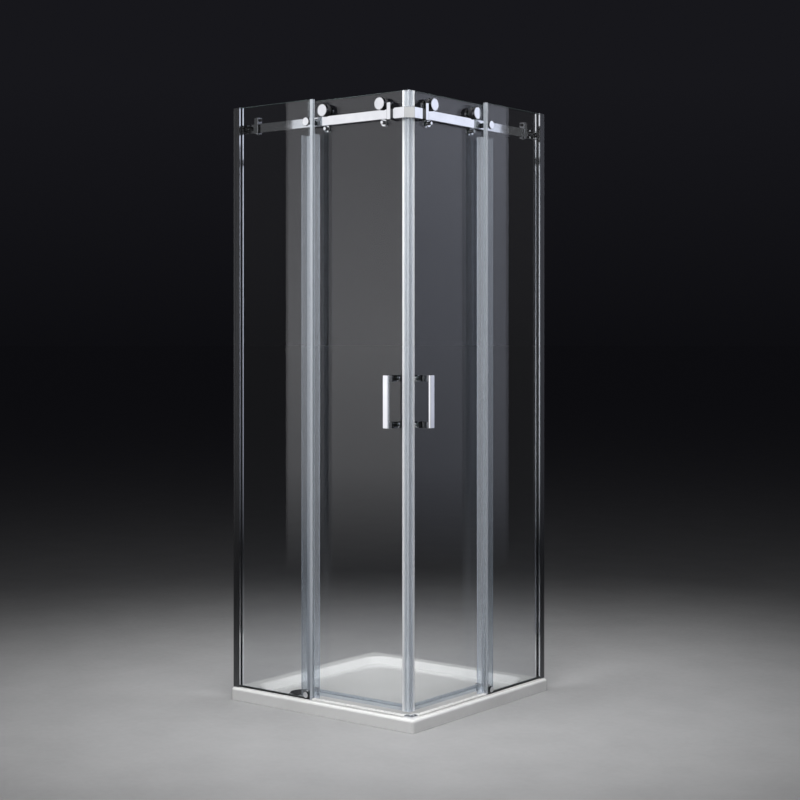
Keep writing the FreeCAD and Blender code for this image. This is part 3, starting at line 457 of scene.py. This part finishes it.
def hex_socket(bm, face, depth, across):
    """Sinks a six-sided key socket into the flat end of a turned cap, on its axis."""
    steps = TURN_STEPS
    centre = min((vertex for vertex in bm.verts if abs(vertex.co.y - face) < 0.01),
                 key=lambda vertex: vertex.co.x ** 2 + vertex.co.z ** 2)
    rim = [None] * steps
    for edge in centre.link_edges:
        vertex = edge.other_vert(centre)
        turn = math.atan2(vertex.co.z, vertex.co.x) % math.tau
        rim[round(turn / math.tau * steps) % steps] = vertex
    bmesh.ops.delete(bm, geom=[centre], context="VERTS")
    flat = math.tau / 6

    def hexagon(v):
        ring = []
        for step in range(steps):
            turn = math.tau * step / steps
            reach = across / 2 / math.cos((turn % flat) - flat / 2)
            ring.append(bm.verts.new((reach * math.cos(turn), v, reach * math.sin(turn))))
        return ring

    mouth = hexagon(face)
    bottom = hexagon(face - depth)
    for first, second in ((rim, mouth), (mouth, bottom)):
        for step in range(steps):
            after = (step + 1) % steps
            bm.faces.new((first[step], first[after], second[after], second[step]))
    bm.faces.new(bottom)
    return bm


# Geometry node trees


def new_tree(name, inputs):
    """An empty geometry tree with a mesh in, a mesh out and these named inputs."""
    tree = bpy.data.node_groups.new(name, "GeometryNodeTree")
    tree.interface.new_socket("Geometry", in_out="INPUT", socket_type="NodeSocketGeometry")
    for label, kind in inputs:
        tree.interface.new_socket(label, in_out="INPUT", socket_type=kind)
    tree.interface.new_socket("Geometry", in_out="OUTPUT", socket_type="NodeSocketGeometry")
    return tree, add(tree, "NodeGroupInput").outputs


def end_tree(tree, made, finish):
    """Realizes the instances and sets the finish."""
    real = add(tree, "GeometryNodeRealizeInstances", {0: made}).outputs[0]
    finished = add(tree, "GeometryNodeSetMaterial", {"Geometry": real, "Material": finish}).outputs[0]
    add(tree, "NodeGroupOutput", {0: finished})
    return tree


def drawn_length_tree():
    """Draws a flat outline out along a run and closes both ends."""
    tree, given = new_tree("drawn_length", [("Run", "NodeSocketVector"), ("Finish", "NodeSocketMaterial")])
    walls = add(tree, "GeometryNodeExtrudeMesh", {
        "Mesh": given["Geometry"], "Offset": given["Run"], "Offset Scale": 1.0, "Individual": False})
    start = add(tree, "GeometryNodeFlipFaces", {0: given["Geometry"]})
    whole = add(tree, "GeometryNodeJoinGeometry")
    tree.links.new(walls.outputs["Mesh"], whole.inputs[0])
    tree.links.new(start.outputs[0], whole.inputs[0])
    closed = add(tree, "GeometryNodeMergeByDistance", {"Geometry": whole.outputs[0], "Distance": 0.001 * MM})
    return end_tree(tree, closed.outputs[0], given["Finish"])


def set_out_tree():
    """Sets one master out on every point."""
    tree, given = new_tree("set_out", [("Master", "NodeSocketObject"), ("Finish", "NodeSocketMaterial")])
    master = add(tree, "GeometryNodeObjectInfo", {"Object": given["Master"]}, transform_space="ORIGINAL")
    many = add(tree, "GeometryNodeInstanceOnPoints", {
        "Points": given["Geometry"], "Instance": master.outputs["Geometry"]})
    return end_tree(tree, many.outputs[0], given["Finish"])


def ring_tree():
    """Adds ribs in a ring about the v axis to a turned piece."""
    tree, given = new_tree("ribs_in_a_ring", [
        ("Count", "NodeSocketInt"), ("Rib", "NodeSocketVector"), ("Radius", "NodeSocketFloat"),
        ("Place", "NodeSocketFloat"), ("Finish", "NodeSocketMaterial")])
    circle = add(tree, "GeometryNodeMeshCircle", {"Vertices": given["Count"], "Radius": given["Radius"]})
    rib = add(tree, "GeometryNodeMeshCube", {"Size": given["Rib"]})
    number = add(tree, "GeometryNodeInputIndex").outputs[0]
    share = add(tree, "ShaderNodeMath", {0: number, 1: given["Count"]}, operation="DIVIDE").outputs[0]
    turn = add(tree, "ShaderNodeMath", {0: share, 1: math.tau}, operation="MULTIPLY").outputs[0]
    heading = add(tree, "ShaderNodeCombineXYZ", {"Z": turn}).outputs[0]
    many = add(tree, "GeometryNodeInstanceOnPoints", {
        "Points": circle.outputs[0], "Instance": rib.outputs[0], "Rotation": heading})
    offset = add(tree, "ShaderNodeCombineXYZ", {"Y": given["Place"]}).outputs[0]
    upright = add(tree, "GeometryNodeTransform", {
        "Geometry": many.outputs[0], "Translation": offset, "Rotation": (math.pi / 2, 0, 0)})
    return end_tree(tree, upright.outputs[0], given["Finish"])


TREES = {"drawn_length": drawn_length_tree(), "set_out": set_out_tree(), "ribs": ring_tree()}


def worked(bm, tree, inputs):
    """The mesh that a geometry tree makes of a mesh and its named inputs."""
    mesh = bpy.data.meshes.new("blank")
    bm.to_mesh(mesh)
    bm.free()
    blank = bpy.data.objects.new("blank", mesh)
    bpy.context.collection.objects.link(blank)
    modifier = blank.modifiers.new("worked", "NODES")
    modifier.node_group = TREES[tree]
    for socket in TREES[tree].interface.items_tree:
        if socket.in_out == "INPUT" and socket.name in inputs:
            modifier[socket.identifier] = inputs[socket.name]
    made = bmesh.new()
    made.from_mesh(settled_mesh(blank))
    bpy.data.objects.remove(blank)
    return made


def drawn(side, outline, run, plane, start, finish):
    """A profile drawn out along a run of the side, from its outline across the run."""
    bm = bmesh.new()
    corners = []
    for first, second in outline:
        place = {"uv": (first, second, start), "vw": (start, first, second)}[plane]
        corners.append(bm.verts.new(spot(side, *place)))
    bm.faces.new(corners)
    direction = {"uv": (0, 0, run), "vw": (run, 0, 0)}[plane]
    vector = spot(side, *direction) - spot(side, 0, 0, 0)
    return worked(bm, "drawn_length", {"Run": vector, "Finish": FINISHES[finish]})


def joined(meshes):
    """Several meshes in one."""
    whole = bmesh.new()
    for bm in meshes:
        part = bpy.data.meshes.new("part")
        bm.to_mesh(part)
        bm.free()
        whole.from_mesh(part)
        bpy.data.meshes.remove(part)
    return whole


def set_out(side, bm, places, finish):
    """Copies of a turned piece at places of u and w on one side."""
    mesh = bpy.data.meshes.new("master")
    bmesh.ops.recalc_face_normals(bm, faces=bm.faces)
    to_side(bm, side).to_mesh(mesh)
    bm.free()
    master = bpy.data.objects.new("master", mesh)
    bpy.context.collection.objects.link(master)
    points = bmesh.new()
    for u, w in places:
        points.verts.new(spot(side, u, 0, w) - spot(side, 0, 0, 0))
    made = worked(points, "set_out", {"Master": master, "Finish": FINISHES[finish]})
    bpy.data.objects.remove(master)
    return made


# Glass


for side in SIDES:
    pane(side + "_fixed_glass")
    pane(side + "_door_glass")


# Seals, drawn as soft profiles with rounded legs and bowed lips


LIP_THICK, LIP_BOW, LIP_TAPER, LIP_SINK = 1.0, 1.0, 0.35, 0.2
BULB_RADIUS = 1.7
FIXED_LIP_GAP, TRAILING_LIP_GAP = 3, 2
WEB_CORNER, LEG_CORNER, GRIP_CORNER = 1.3, 0.6, 0.5
CHANNEL_FINISHES = ("frosted_seal", "clear_seal")


def bowed_lip(root, tip, line, bow, steps=8):
    """Outline of a lip across u that bows out and thins between its root and its tip."""
    near, far = [], []
    for step in range(steps + 1):
        share = step / steps
        v = root + (tip - root) * share
        middle = line + bow * math.sin(share * math.pi / 2) * share
        half = LIP_THICK / 2 * (1 - LIP_TAPER * share)
        near.append((middle - half, v))
        far.append((middle + half, v))
    return near + far[::-1]


def bulb(u, v, steps=14):
    """Outline of the round bulb along a lip's tip."""
    turns = [math.tau * step / steps for step in range(steps)]
    return [(u + BULB_RADIUS * math.cos(turn), v + BULB_RADIUS * math.sin(turn)) for turn in turns]


def channel_seal(side, node, channel, channel_run, lip, bulb_outline, start):
    """Frosted channel on a glass edge, with a clear web and a clear bulbed lip to the other pane."""
    fin_run = FIN_TOP - start
    whole = joined([
        by_facing(drawn(side, rounded(channel), channel_run, "uv", start, "frosted_seal"), side),
        dressed(drawn(side, lip, fin_run, "uv", start, "clear_seal"), 1),
        dressed(drawn(side, bulb_outline, fin_run, "uv", start, "clear_seal"), 1)])
    stand_for("%s_%s_drawn" % (side, node), whole, ["%s_%s" % (side, node)], CHANNEL_FINISHES)


def fixed_seal(side):
    """Seal on the fixed glass's free edge, with its lip towards the door."""
    web, edge = FIXED_EDGE - SEAL_WALL, FIXED_EDGE - GRIP_GAP
    leg = FIXED_EDGE + FIXED_LEG
    out, inner = FIXED_OUT - SEAL_WALL, FIXED_IN + SEAL_WALL
    grip_out, grip_in = FIXED_OUT - GRIP_GAP, FIXED_IN + GRIP_GAP
    channel = [
        (web, out, WEB_CORNER), (leg, out, LEG_CORNER), (leg, grip_out, GRIP_CORNER), (edge, grip_out, 0),
        (edge, grip_in, 0), (leg, grip_in, GRIP_CORNER), (leg, inner, LEG_CORNER), (web, inner, WEB_CORNER)]
    line, tip = web + SEAL_WALL / 2, DOOR_OUT - FIXED_LIP_GAP
    lip = bowed_lip(inner - LIP_SINK, tip, line, LIP_BOW)
    channel_seal(side, "fixed_seal", channel, GLASS_TOP - RIM, lip,
                 bulb(line + LIP_BOW, tip - BULB_RADIUS), RIM)


def trailing_seal(side):
    """Seal on the door's trailing edge, with its lip towards the fixed glass."""
    web, edge = DOOR_TRAIL + SEAL_WALL, DOOR_TRAIL + GRIP_GAP
    leg = DOOR_TRAIL - TRAILING_LEG
    out, inner = DOOR_OUT - SEAL_WALL, DOOR_IN + SEAL_WALL
    grip_out, grip_in = DOOR_OUT - GRIP_GAP, DOOR_IN + GRIP_GAP
    channel = [
        (leg, out, LEG_CORNER), (web, out, WEB_CORNER), (web, inner, WEB_CORNER), (leg, inner, LEG_CORNER),
        (leg, grip_in, GRIP_CORNER), (edge, grip_in, 0), (edge, grip_out, 0), (leg, grip_out, GRIP_CORNER)]
    line, tip = web - SEAL_WALL / 2, FIXED_IN + TRAILING_LIP_GAP
    lip = bowed_lip(out + LIP_SINK, tip, line, -LIP_BOW)
    channel_seal(side, "trailing_seal", channel, FIN_TOP - SWEEP_LOW, lip,
                 bulb(line - LIP_BOW, tip + BULB_RADIUS), SWEEP_LOW)


def magnet_seal(side):
    """Mitred seal on the door's leading edge, milky at its legs and clear where it holds the magnet."""
    mitre_gap, mitre_corner, nose_length = 0.42, 1.0, 3
    nose, edge = DOOR_LEAD - nose_length, DOOR_LEAD - GRIP_GAP
    leg = DOOR_LEAD + MAGNET_LEG
    out, inner = DOOR_OUT - SEAL_WALL, DOOR_IN + SEAL_WALL
    grip_out, grip_in = DOOR_OUT - GRIP_GAP, DOOR_IN + GRIP_GAP
    profile = rounded([
        (out + mitre_gap, out, mitre_corner), (nose, out, 0), (leg, out, LEG_CORNER),
        (leg, grip_out, GRIP_CORNER), (edge, grip_out, 0), (edge, grip_in, 0), (leg, grip_in, GRIP_CORNER),
        (leg, inner, LEG_CORNER), (nose, inner, 0), (inner + mitre_gap, inner, mitre_corner)])
    whole = drawn(side, profile, GLASS_TOP - SWEEP_LOW, "uv", SWEEP_LOW, "milky_seal")
    origin, along = axes(side)[:2]
    for face in whole.faces:
        place = (face.calc_center_median() - origin).dot(along) / MM ** 2
        face.material_index = 0 if place > nose else 1
    stand_for(side + "_magnet_seal_drawn", whole, [side + "_magnet_seal"], ("milky_seal", "clear_seal"))


def bottom_seal(side):
    """Sweep under the door, a channel with one lip down the middle."""
    door_low, leg_height = 58, 8
    root, tip, tip_corner, web_corner = 1.2, 0.6, 0.4, 1.2
    out, inner = DOOR_OUT - SEAL_WALL, DOOR_IN + SEAL_WALL
    grip_out, grip_in, edge = DOOR_OUT - GRIP_GAP, DOOR_IN + GRIP_GAP, door_low - GRIP_GAP
    web, top = door_low - SEAL_WALL, door_low + leg_height
    middle = (DOOR_OUT + DOOR_IN) / 2
    profile = rounded([
        (out, web, web_corner), (middle - root, web, LEG_CORNER),
        (middle - tip, SWEEP_LOW, tip_corner), (middle + tip, SWEEP_LOW, tip_corner),
        (middle + root, web, LEG_CORNER), (inner, web, web_corner), (inner, top, LEG_CORNER),
        (grip_in, top, GRIP_CORNER), (grip_in, edge, 0), (grip_out, edge, 0),
        (grip_out, top, GRIP_CORNER), (out, top, LEG_CORNER)])
    start, end = DOOR_LEAD + MAGNET_LEG, DOOR_TRAIL - TRAILING_LEG
    sweep = side + "_sweep"
    whole = drawn(side, profile, end - start, "vw", start, sweep)
    stand_for(side + "_bottom_seal_drawn", whole, [side + "_bottom_seal"], [sweep])


def threshold(side):
    """Low strip on the rim under the doorway, with a shadow gap along its foot and two grooves in its top."""
    out, inner, top = 17, 33, 46
    start, end = 47, FIXED_EDGE - SEAL_WALL
    foot, foot_inset, slope = RIM + 1.4, 3, 2
    groove_low, groove_edges, groove_floor = top - 1.4, (4, 5.4), (4.3, 5.1)
    half = [
        (foot_inset, RIM, 0), (foot_inset, foot, 0), (0, foot, 0.3), (0, top - slope, 0.5), (slope, top, 0.6),
        (groove_edges[0], top, 0.2), (groove_floor[0], groove_low, 0),
        (groove_floor[1], groove_low, 0), (groove_edges[1], top, 0.2)]
    inner_half = [(inner - inset, w, corner) for inset, w, corner in half]
    outer_half = [(out + inset, w, corner) for inset, w, corner in reversed(half)]
    whole = drawn(side, rounded(inner_half + outer_half, 2), end - start, "vw", start, "white_nylon")
    stand_for(side + "_threshold_drawn", whole, [side + "_threshold"])


for side in SIDES:
    fixed_seal(side)
    trailing_seal(side)
    magnet_seal(side)
    bottom_seal(side)
    threshold(side)


# Turned fittings


# Bright chrome on faces that look across the side, and painted shade (darkened chrome) on all their other
# faces.
LIT_FRONT_PAINTED_SHADE_SIDES = ("chrome", "shaded_chrome")
SLEEVE = 6.9
BORE = 5.05
AXLE_START = 36
RAIL_FACE = 44
FINE_CORNER = 0.3
ROLLERS = [(FRONT_ROLLER, AXLE_HEIGHT), (REAR_ROLLER, AXLE_HEIGHT)]
PINS = [(FRONT_ROLLER, PIN_HEIGHT), (REAR_ROLLER, PIN_HEIGHT)]
HANDLE_BOLTS = [(HANDLE_PLACE, height) for height in HANDLE_POST_HEIGHTS]
RAIL_BOLT = (BOLT_PLACE, RAIL_HEIGHT)
GUIDE_BOLT = (BOLT_PLACE, GUIDE_BOLT_HEIGHT)


def both_faces(half, middle):
    """Outline of radius, v and corner that is the same on both faces of a middle plane."""
    return half + [(radius, 2 * middle - v, corner) for radius, v, corner in reversed(half)]


def keyed(shank, cap, face, edge, socket_rim, depth, across):
    """A turned shank that passes through the door glass and ends inside in a cap with a key socket."""
    outline = rounded(shank + [
        (SLEEVE, DOOR_OUT, 0), (SLEEVE, DOOR_IN, 0), (cap, DOOR_IN, FINE_CORNER), (cap, face, edge),
        (socket_rim, face, 0), (0, face, 0)])
    return hex_socket(turned(outline), face, depth, across)


def roller_discs(side):
    """Outer discs of the rollers, with soft rims and a fine ring turned in their faces."""
    radius, face, back = 20, 33, 41
    ring, ring_half, ring_depth = 17.8, 0.2, 0.25
    outline = rounded([
        (0, face, 0), (ring - ring_half, face, 0), (ring, face + ring_depth, 0), (ring + ring_half, face, 0),
        (radius, face, 1.2), (radius, back, 0.8), (BORE, back, FINE_CORNER), (BORE, AXLE_START, 0),
        (0, AXLE_START, 0)])
    made = set_out(side, turned(outline, 64), ROLLERS, "chrome")
    stand_for(side + "_roller_discs_turned", by_facing(made, side), [side + "_roller_discs"], LIT_FRONT_PAINTED_SHADE_SIDES)


def roller_axles(side):
    """Axles through the door glass, with a shoulder outside and a keyed cap inside."""
    radius, shoulder, shoulder_start = 5, 10, 56.4
    shank = [
        (0, AXLE_START, 0), (radius, AXLE_START, 0.4), (radius, shoulder_start, 0),
        (shoulder, shoulder_start, 0.5), (shoulder, DOOR_OUT, 0)]
    axle = keyed(shank, cap=16, face=76, edge=1.8, socket_rim=5, depth=3.5, across=8)
    # The axles are drawn in darkened chrome: painted shade.
    made = set_out(side, axle, ROLLERS, "shaded_chrome")
    stand_for(side + "_roller_axles_turned", made, [side + "_roller_axles"], ["shaded_chrome"])


def lift_pins(side):
    """Pins under the rail, with a flange on each face of the glass."""
    radius, start, flange, flange_start = 6, 46, 12, 56.5
    shank = [
        (0, start, 0), (radius, start, 1.2), (radius, flange_start, 0.4), (flange, flange_start, 1.0),
        (flange, DOOR_OUT, 0)]
    pin = keyed(shank, cap=flange, face=74, edge=1.4, socket_rim=4, depth=3, across=6)
    made = set_out(side, pin, PINS, "chrome")
    stand_for(side + "_lift_pins_turned", by_facing(made, side), [side + "_lift_pins"], LIT_FRONT_PAINTED_SHADE_SIDES)


def handle_caps(side):
    """Keyed caps and bolts that hold the handle from the inside of the door."""
    radius, start = 4, 45
    shank = [(0, start, 0), (radius, start, 0.4), (radius, DOOR_OUT, 0)]
    cap = keyed(shank, cap=10, face=76, edge=1.4, socket_rim=3.6, depth=3, across=5)
    made = set_out(side, cap, HANDLE_BOLTS, "chrome")
    stand_for(side + "_handle_caps_turned", made, [side + "_handle_caps"])


def glass_bolts(side):
    """Capped bolts through the fixed glass, to the rail spacer and to the bottom guide."""
    radius, face, end = 4, 15, 50
    bolts = []
    for place, cap in ((RAIL_BOLT, 14), (GUIDE_BOLT, 10)):
        outline = rounded([
            (0, face, 0), (cap, face, 1.4), (cap, FIXED_OUT, FINE_CORNER), (SLEEVE, FIXED_OUT, 0),
            (SLEEVE, FIXED_IN, 0), (radius, FIXED_IN, 0), (radius, end, 0.4), (0, end, 0)])
        bolts.append(set_out(side, turned(outline), [place], "chrome"))
    stand_for(side + "_glass_bolts_turned", by_facing(joined(bolts), side), ["glass_bolts"], LIT_FRONT_PAINTED_SHADE_SIDES)


def rail_standoff(side):
    """Spacer between the fixed glass and the rail, with a groove round its middle."""
    radius, bore = 8, 4.05
    groove, groove_edge, groove_floor = 7.4, 1, 0.6
    middle = (FIXED_IN + RAIL_FACE) / 2
    outline = rounded(both_faces([
        (bore, FIXED_IN, 0), (radius, FIXED_IN, 0.6), (radius, middle - groove_edge, 0.2),
        (groove, middle - groove_floor, 0)], middle))
    # The spacer is drawn in darkened chrome: painted shade.
    made = set_out(side, turned(outline, closed=True), [RAIL_BOLT], "shaded_chrome")
    stand_for(side + "_rail_standoff_turned", made, [side + "_rail_standoff"], ["shaded_chrome"])


def wheel(side, name, u):
    """Grooved nylon wheel with ribs in its two faces, on a steel bearing."""
    face, middle = 42, 49
    hub, hub_slope, dish, rim, flange, tread = 9, 9.6, 15.2, 16, 20.5, 18.2
    dish_face, flange_inner, tread_edge = face + 1.4, face + 1.7, face + 1.9
    ring, ring_face, shield_face = 8.95, face + 0.2, face + 0.6
    rib, rib_circle, rib_face = (5.8, 1.2, 1.2), 12.4, face + 0.9
    tyre = rounded(both_faces([
        (hub, face, FINE_CORNER), (hub_slope, dish_face, 0), (dish, dish_face, FINE_CORNER), (rim, face, 0.4),
        (flange, face, 0.6), (flange, flange_inner, 0.4), (tread, tread_edge, FINE_CORNER)], middle), 3)
    bearing = rounded(both_faces([
        (BORE, ring_face, 0.2), (6.4, ring_face, 0.2), (6.6, shield_face, 0), (7.6, shield_face, 0),
        (7.8, ring_face, 0.2), (ring, ring_face, 0.2)], middle), 2)
    parts = [turned(tyre, 64, True)]
    for v in (rib_face, 2 * middle - rib_face):
        parts.append(worked(bmesh.new(), "ribs", {
            "Count": 12, "Rib": rib, "Radius": rib_circle, "Place": v, "Finish": FINISHES["black_nylon"]}))
    nylon = dressed(joined(parts), 0)
    steel = dressed(turned(bearing, closed=True), 1)
    whole = to_side(joined([nylon, steel]), side)
    place = spot(side, u, 0, AXLE_HEIGHT) - spot(side, 0, 0, 0)
    bmesh.ops.translate(whole, verts=whole.verts, vec=place)
    stand_for("%s_%s_turned" % (side, name), whole, ["%s_%s" % (side, name)], ("black_nylon", "steel"))


for side in SIDES:
    roller_discs(side)
    roller_axles(side)
    lift_pins(side)
    handle_caps(side)
    glass_bolts(side)
    rail_standoff(side)
    wheel(side, "front_wheel", FRONT_ROLLER)
    wheel(side, "rear_wheel", REAR_ROLLER)


# Pieces that keep their CAD form, with eased edges


def tray():
    """Tray with a fuller soft edge round its rim than the CAD edge has."""
    corner, cad_edge, edge, slack = 12, 4, 9, 0.05
    fuller = edge / cad_edge
    bm = merged_copy("tray")
    for vertex in bm.verts:
        x, y, z = vertex.co / MM
        over = Vector([max(abs(across) - HALF_TRAY + corner, 0) for across in (x, y)])
        depth = corner - over.length
        if depth < cad_edge + slack and z > RIM - cad_edge - slack:
            inwards = over.normalized() * depth * (fuller - 1)
            x -= math.copysign(inwards.x, x)
            y -= math.copysign(inwards.y, y)
            vertex.co = Vector((x, y, RIM - (RIM - z) * fuller)) * MM
    stand_for("tray_eased", bm, ["tray"], turn_out=False)


tray()
EASED_SHARED = {
    "waste_flange": 0.4, "waste_gasket": 0.3, "waste_nut": 0.6, "waste_cover": 0.6,
    "rail_corner_joint": 0, "threshold_corner": 0.3, "stop_screws": 0.6, "stop_bumpers": 1.0,
    "bracket_screws": 0.3, "setting_strips": 0.4,
}
EASED_BY_SIDE = {
    "wall_profile": 0.6, "glazing_strips": 0.4, "rail": 0.3, "rail_wall_bracket": 0.5, "rail_stops": 0.3,
    "bottom_guide": 0.5, "guide_liner": 0.2, "magnet_strip": 0.3, "handle_bar": 0, "handle_posts": 0.5,
}
# Wall brackets and handle posts take painted shade chrome, stops are bright in front with painted shade on
# their other faces, and the wall profile's outer face takes painted shade aluminium.
EASED_FINISH = {
    "rail_wall_bracket": ["shaded_chrome"], "handle_posts": ["shaded_chrome"], "glazing_strips": ["glazing"],
    "rail_stops": LIT_FRONT_PAINTED_SHADE_SIDES, "wall_profile": ["painted_shade_aluminium", "polished_aluminium"],
}
for node, ease in EASED_SHARED.items():
    eased_piece(node, ease)
for side in SIDES:
    for node, ease in EASED_BY_SIDE.items():
        eased_piece("%s_%s" % (side, node), ease, EASED_FINISH.get(node, ()), side)


# Studio: pale floor, soft lights from above and in front, and upright soft lights all round whose
# reflections stand in the glass and the chrome


def floor():
    """Plain pale floor, just under the tray."""
    radius, drop = 400, 0.6 * MM
    finish, tree = new_finish("pale_studio_floor")
    body = add(tree, "ShaderNodeBsdfPrincipled", {
        "Base Color": shades(tree, grain(tree, 5), (0.33, 0.33, 0.335), (0.36, 0.36, 0.365)),
        "Roughness": between(tree, grain(tree, 40), 0.45, 0.55),
        "Specular IOR Level": 0.2})
    close_tree(tree, body.outputs[0])
    mesh = bpy.data.meshes.new("studio_floor")
    bm = bmesh.new()
    bmesh.ops.create_circle(bm, cap_ends=True, segments=96, radius=radius)
    bmesh.ops.translate(bm, verts=bm.verts, vec=(0, 0, -drop))
    bm.to_mesh(mesh)
    bm.free()
    mesh.materials.append(finish)
    ground = bpy.data.objects.new("studio_floor", mesh)
    bpy.context.collection.objects.link(ground)


def soft_light(name, place, target, size, radiance, spread, tint=(1, 1, 1), profile=(),
               lighting=True, mirrored=True):
    """Rectangular soft light that lights plain surfaces, is mirrored in bright ones, or both.

    Its radiance is that along its axis, and its profile gives shares of it from foot to top.
    """
    half_spread = math.radians(spread / 2)
    axis_gain = math.tan(half_spread) / (math.tan(half_spread) - half_spread)
    light = bpy.data.lights.new(name, "AREA")
    light.shape = "RECTANGLE"
    light.size, light.size_y = size
    light.energy = radiance / axis_gain * math.pi * light.size * light.size_y
    light.spread = 2 * half_spread
    light.color = tint
    lamp = bpy.data.objects.new(name, light)
    lamp.location = place
    lamp.rotation_euler = (Vector(target) - Vector(place)).to_track_quat("-Z", "Y").to_euler()
    lamp.visible_camera = False
    lamp.visible_diffuse = lighting
    lamp.visible_glossy = mirrored
    bpy.context.collection.objects.link(lamp)
    if profile:
        light.use_nodes = True
        tree = light.node_tree
        glow = next(node for node in tree.nodes if node.type == "EMISSION")
        across = add(tree, "ShaderNodeNewGeometry").outputs["Parametric"]
        height = add(tree, "ShaderNodeSeparateXYZ", {0: across}).outputs["Y"]
        ramp = add(tree, "ShaderNodeValToRGB", {"Fac": height})
        stops = ramp.color_ramp.elements
        while len(stops) < len(profile):
            stops.new(0.5)
        for stop, (level, share) in zip(stops, profile):
            stop.position = level
            stop.color = (share, share, share, 1)
        tree.links.new(ramp.outputs["Color"], glow.inputs["Strength"])


PANEL_WIDTH, WIDE_PANEL, PANEL_HEIGHT, PANEL_FOOT = 0.75, 1.6, 3.25, 0.05
PANEL_DISTANCE, PANEL_SPREAD = 3.0, 120
FADED_FOOT = [(0.0, 0.0), (0.16, 0.7), (0.5, 1.0)]


def upright_light(name, direction, lateral, radiance, tint=(1, 1, 1), profile=FADED_FOOT, width=PANEL_WIDTH,
                  lighting=True):
    """Tall soft light that stands square to a direction from the middle of the tray, moved sideways."""
    out = Vector((*direction, 0))
    across = Vector((-out.y, out.x, 0))
    middle = out * PANEL_DISTANCE + across * lateral + Vector((0, 0, PANEL_HEIGHT / 2 + PANEL_FOOT))
    soft_light(name, middle, middle - out, (width, PANEL_HEIGHT), radiance, PANEL_SPREAD, tint, profile,
               lighting)


floor()
VIEW, ACROSS, UP = Vector((0.611, -0.791, 0)), Vector((0.791, 0.611, 0)), Vector((0, 0, 1))
soft_light("overhead_soft", place=VIEW * 0.5 + UP * 3.3, target=VIEW * 0.15, size=(1.5, 1.5),
           radiance=27.5, spread=70, mirrored=False)
soft_light("ceiling_soft", place=UP * 3.6, target=(0, 0, 0), size=(2.4, 2.4), radiance=0.4, spread=150)
soft_light("front_soft", place=VIEW * 3.0 - ACROSS * 0.6 + UP * 2.6, target=UP * 1.5, size=(1.4, 1.2),
           radiance=14.0, spread=110, mirrored=False)
upright_light("corner_soft", (0.791, -0.611), lateral=-0.27, radiance=0.8, width=1.29)
LEFT_MIRROR, LEFT_PANEL = (-0.611, -0.791), 0.283
RIGHT_MIRROR, RIGHT_PANEL = (0.611, 0.791), -0.373
upright_light("left_soft", LEFT_MIRROR, LEFT_PANEL, radiance=1.38, tint=(0.99, 0.99, 1.03),
              profile=[(0.0, 0.0), (0.16, 0.75), (0.34, 1.0), (0.5, 0.92), (0.63, 0.82)])
upright_light("right_soft", RIGHT_MIRROR, RIGHT_PANEL, radiance=1.17, tint=(0.9, 0.94, 1.1),
              profile=[(0.0, 0.0), (0.16, 0.45), (0.34, 0.65), (0.5, 0.78), (0.66, 1.0)])
upright_light("left_fill", LEFT_MIRROR, LEFT_PANEL - PANEL_WIDTH, radiance=0.09)
upright_light("right_fill", RIGHT_MIRROR, RIGHT_PANEL + PANEL_WIDTH, radiance=0.09)
for name, direction in {"left_side_soft": (0, -1), "right_side_soft": (1, 0),
                        "left_back_soft": (-1, 0), "right_back_soft": (0, 1)}.items():
    upright_light(name, direction, lateral=0, radiance=0.5, width=WIDE_PANEL, lighting=False)


def dark_studio():
    """Dark room that meets the far floor without a line."""
    world = bpy.data.worlds.new("dark_studio")
    bpy.context.scene.world = world
    world.use_nodes = True
    tree = world.node_tree
    tree.nodes.clear()
    heading = add(tree, "ShaderNodeTexCoord").outputs["Generated"]
    height = add(tree, "ShaderNodeSeparateXYZ", {0: heading}).outputs["Z"]
    ramp = add(tree, "ShaderNodeValToRGB", {"Fac": height})
    low, high = ramp.color_ramp.elements
    low.position, high.position = 0.0, 0.16
    low.color = (0.0042, 0.0042, 0.0055, 1)
    high.color = (0.0085, 0.0085, 0.011, 1)
    glow = add(tree, "ShaderNodeBackground", {"Color": ramp.outputs["Color"], "Strength": 1.0})
    add(tree, "ShaderNodeOutputWorld", {"Surface": glow.outputs[0]})


dark_studio()

# Camera at the photograph's place, level, with the frame moved down

AZIMUTH = math.radians(37.698)
DISTANCE, OFFSET, EYE_HEIGHT = 5.282, 0.0293, 1.1864
forward = Vector((-math.sin(AZIMUTH), math.cos(AZIMUTH), 0))
sideways = Vector((math.cos(AZIMUTH), math.sin(AZIMUTH), 0))
lens = bpy.data.cameras.new("camera")
lens.lens = 70.75
lens.sensor_width = 36
lens.sensor_fit = "HORIZONTAL"
lens.shift_y = -0.0734
camera = bpy.data.objects.new("camera", lens)
camera.location = forward * -DISTANCE + sideways * OFFSET + Vector((0, 0, EYE_HEIGHT))
camera.rotation_euler = (math.pi / 2, 0, AZIMUTH)
bpy.context.collection.objects.link(camera)
bpy.context.scene.camera = camera
bpy.context.scene.view_settings.view_transform = "Standard"
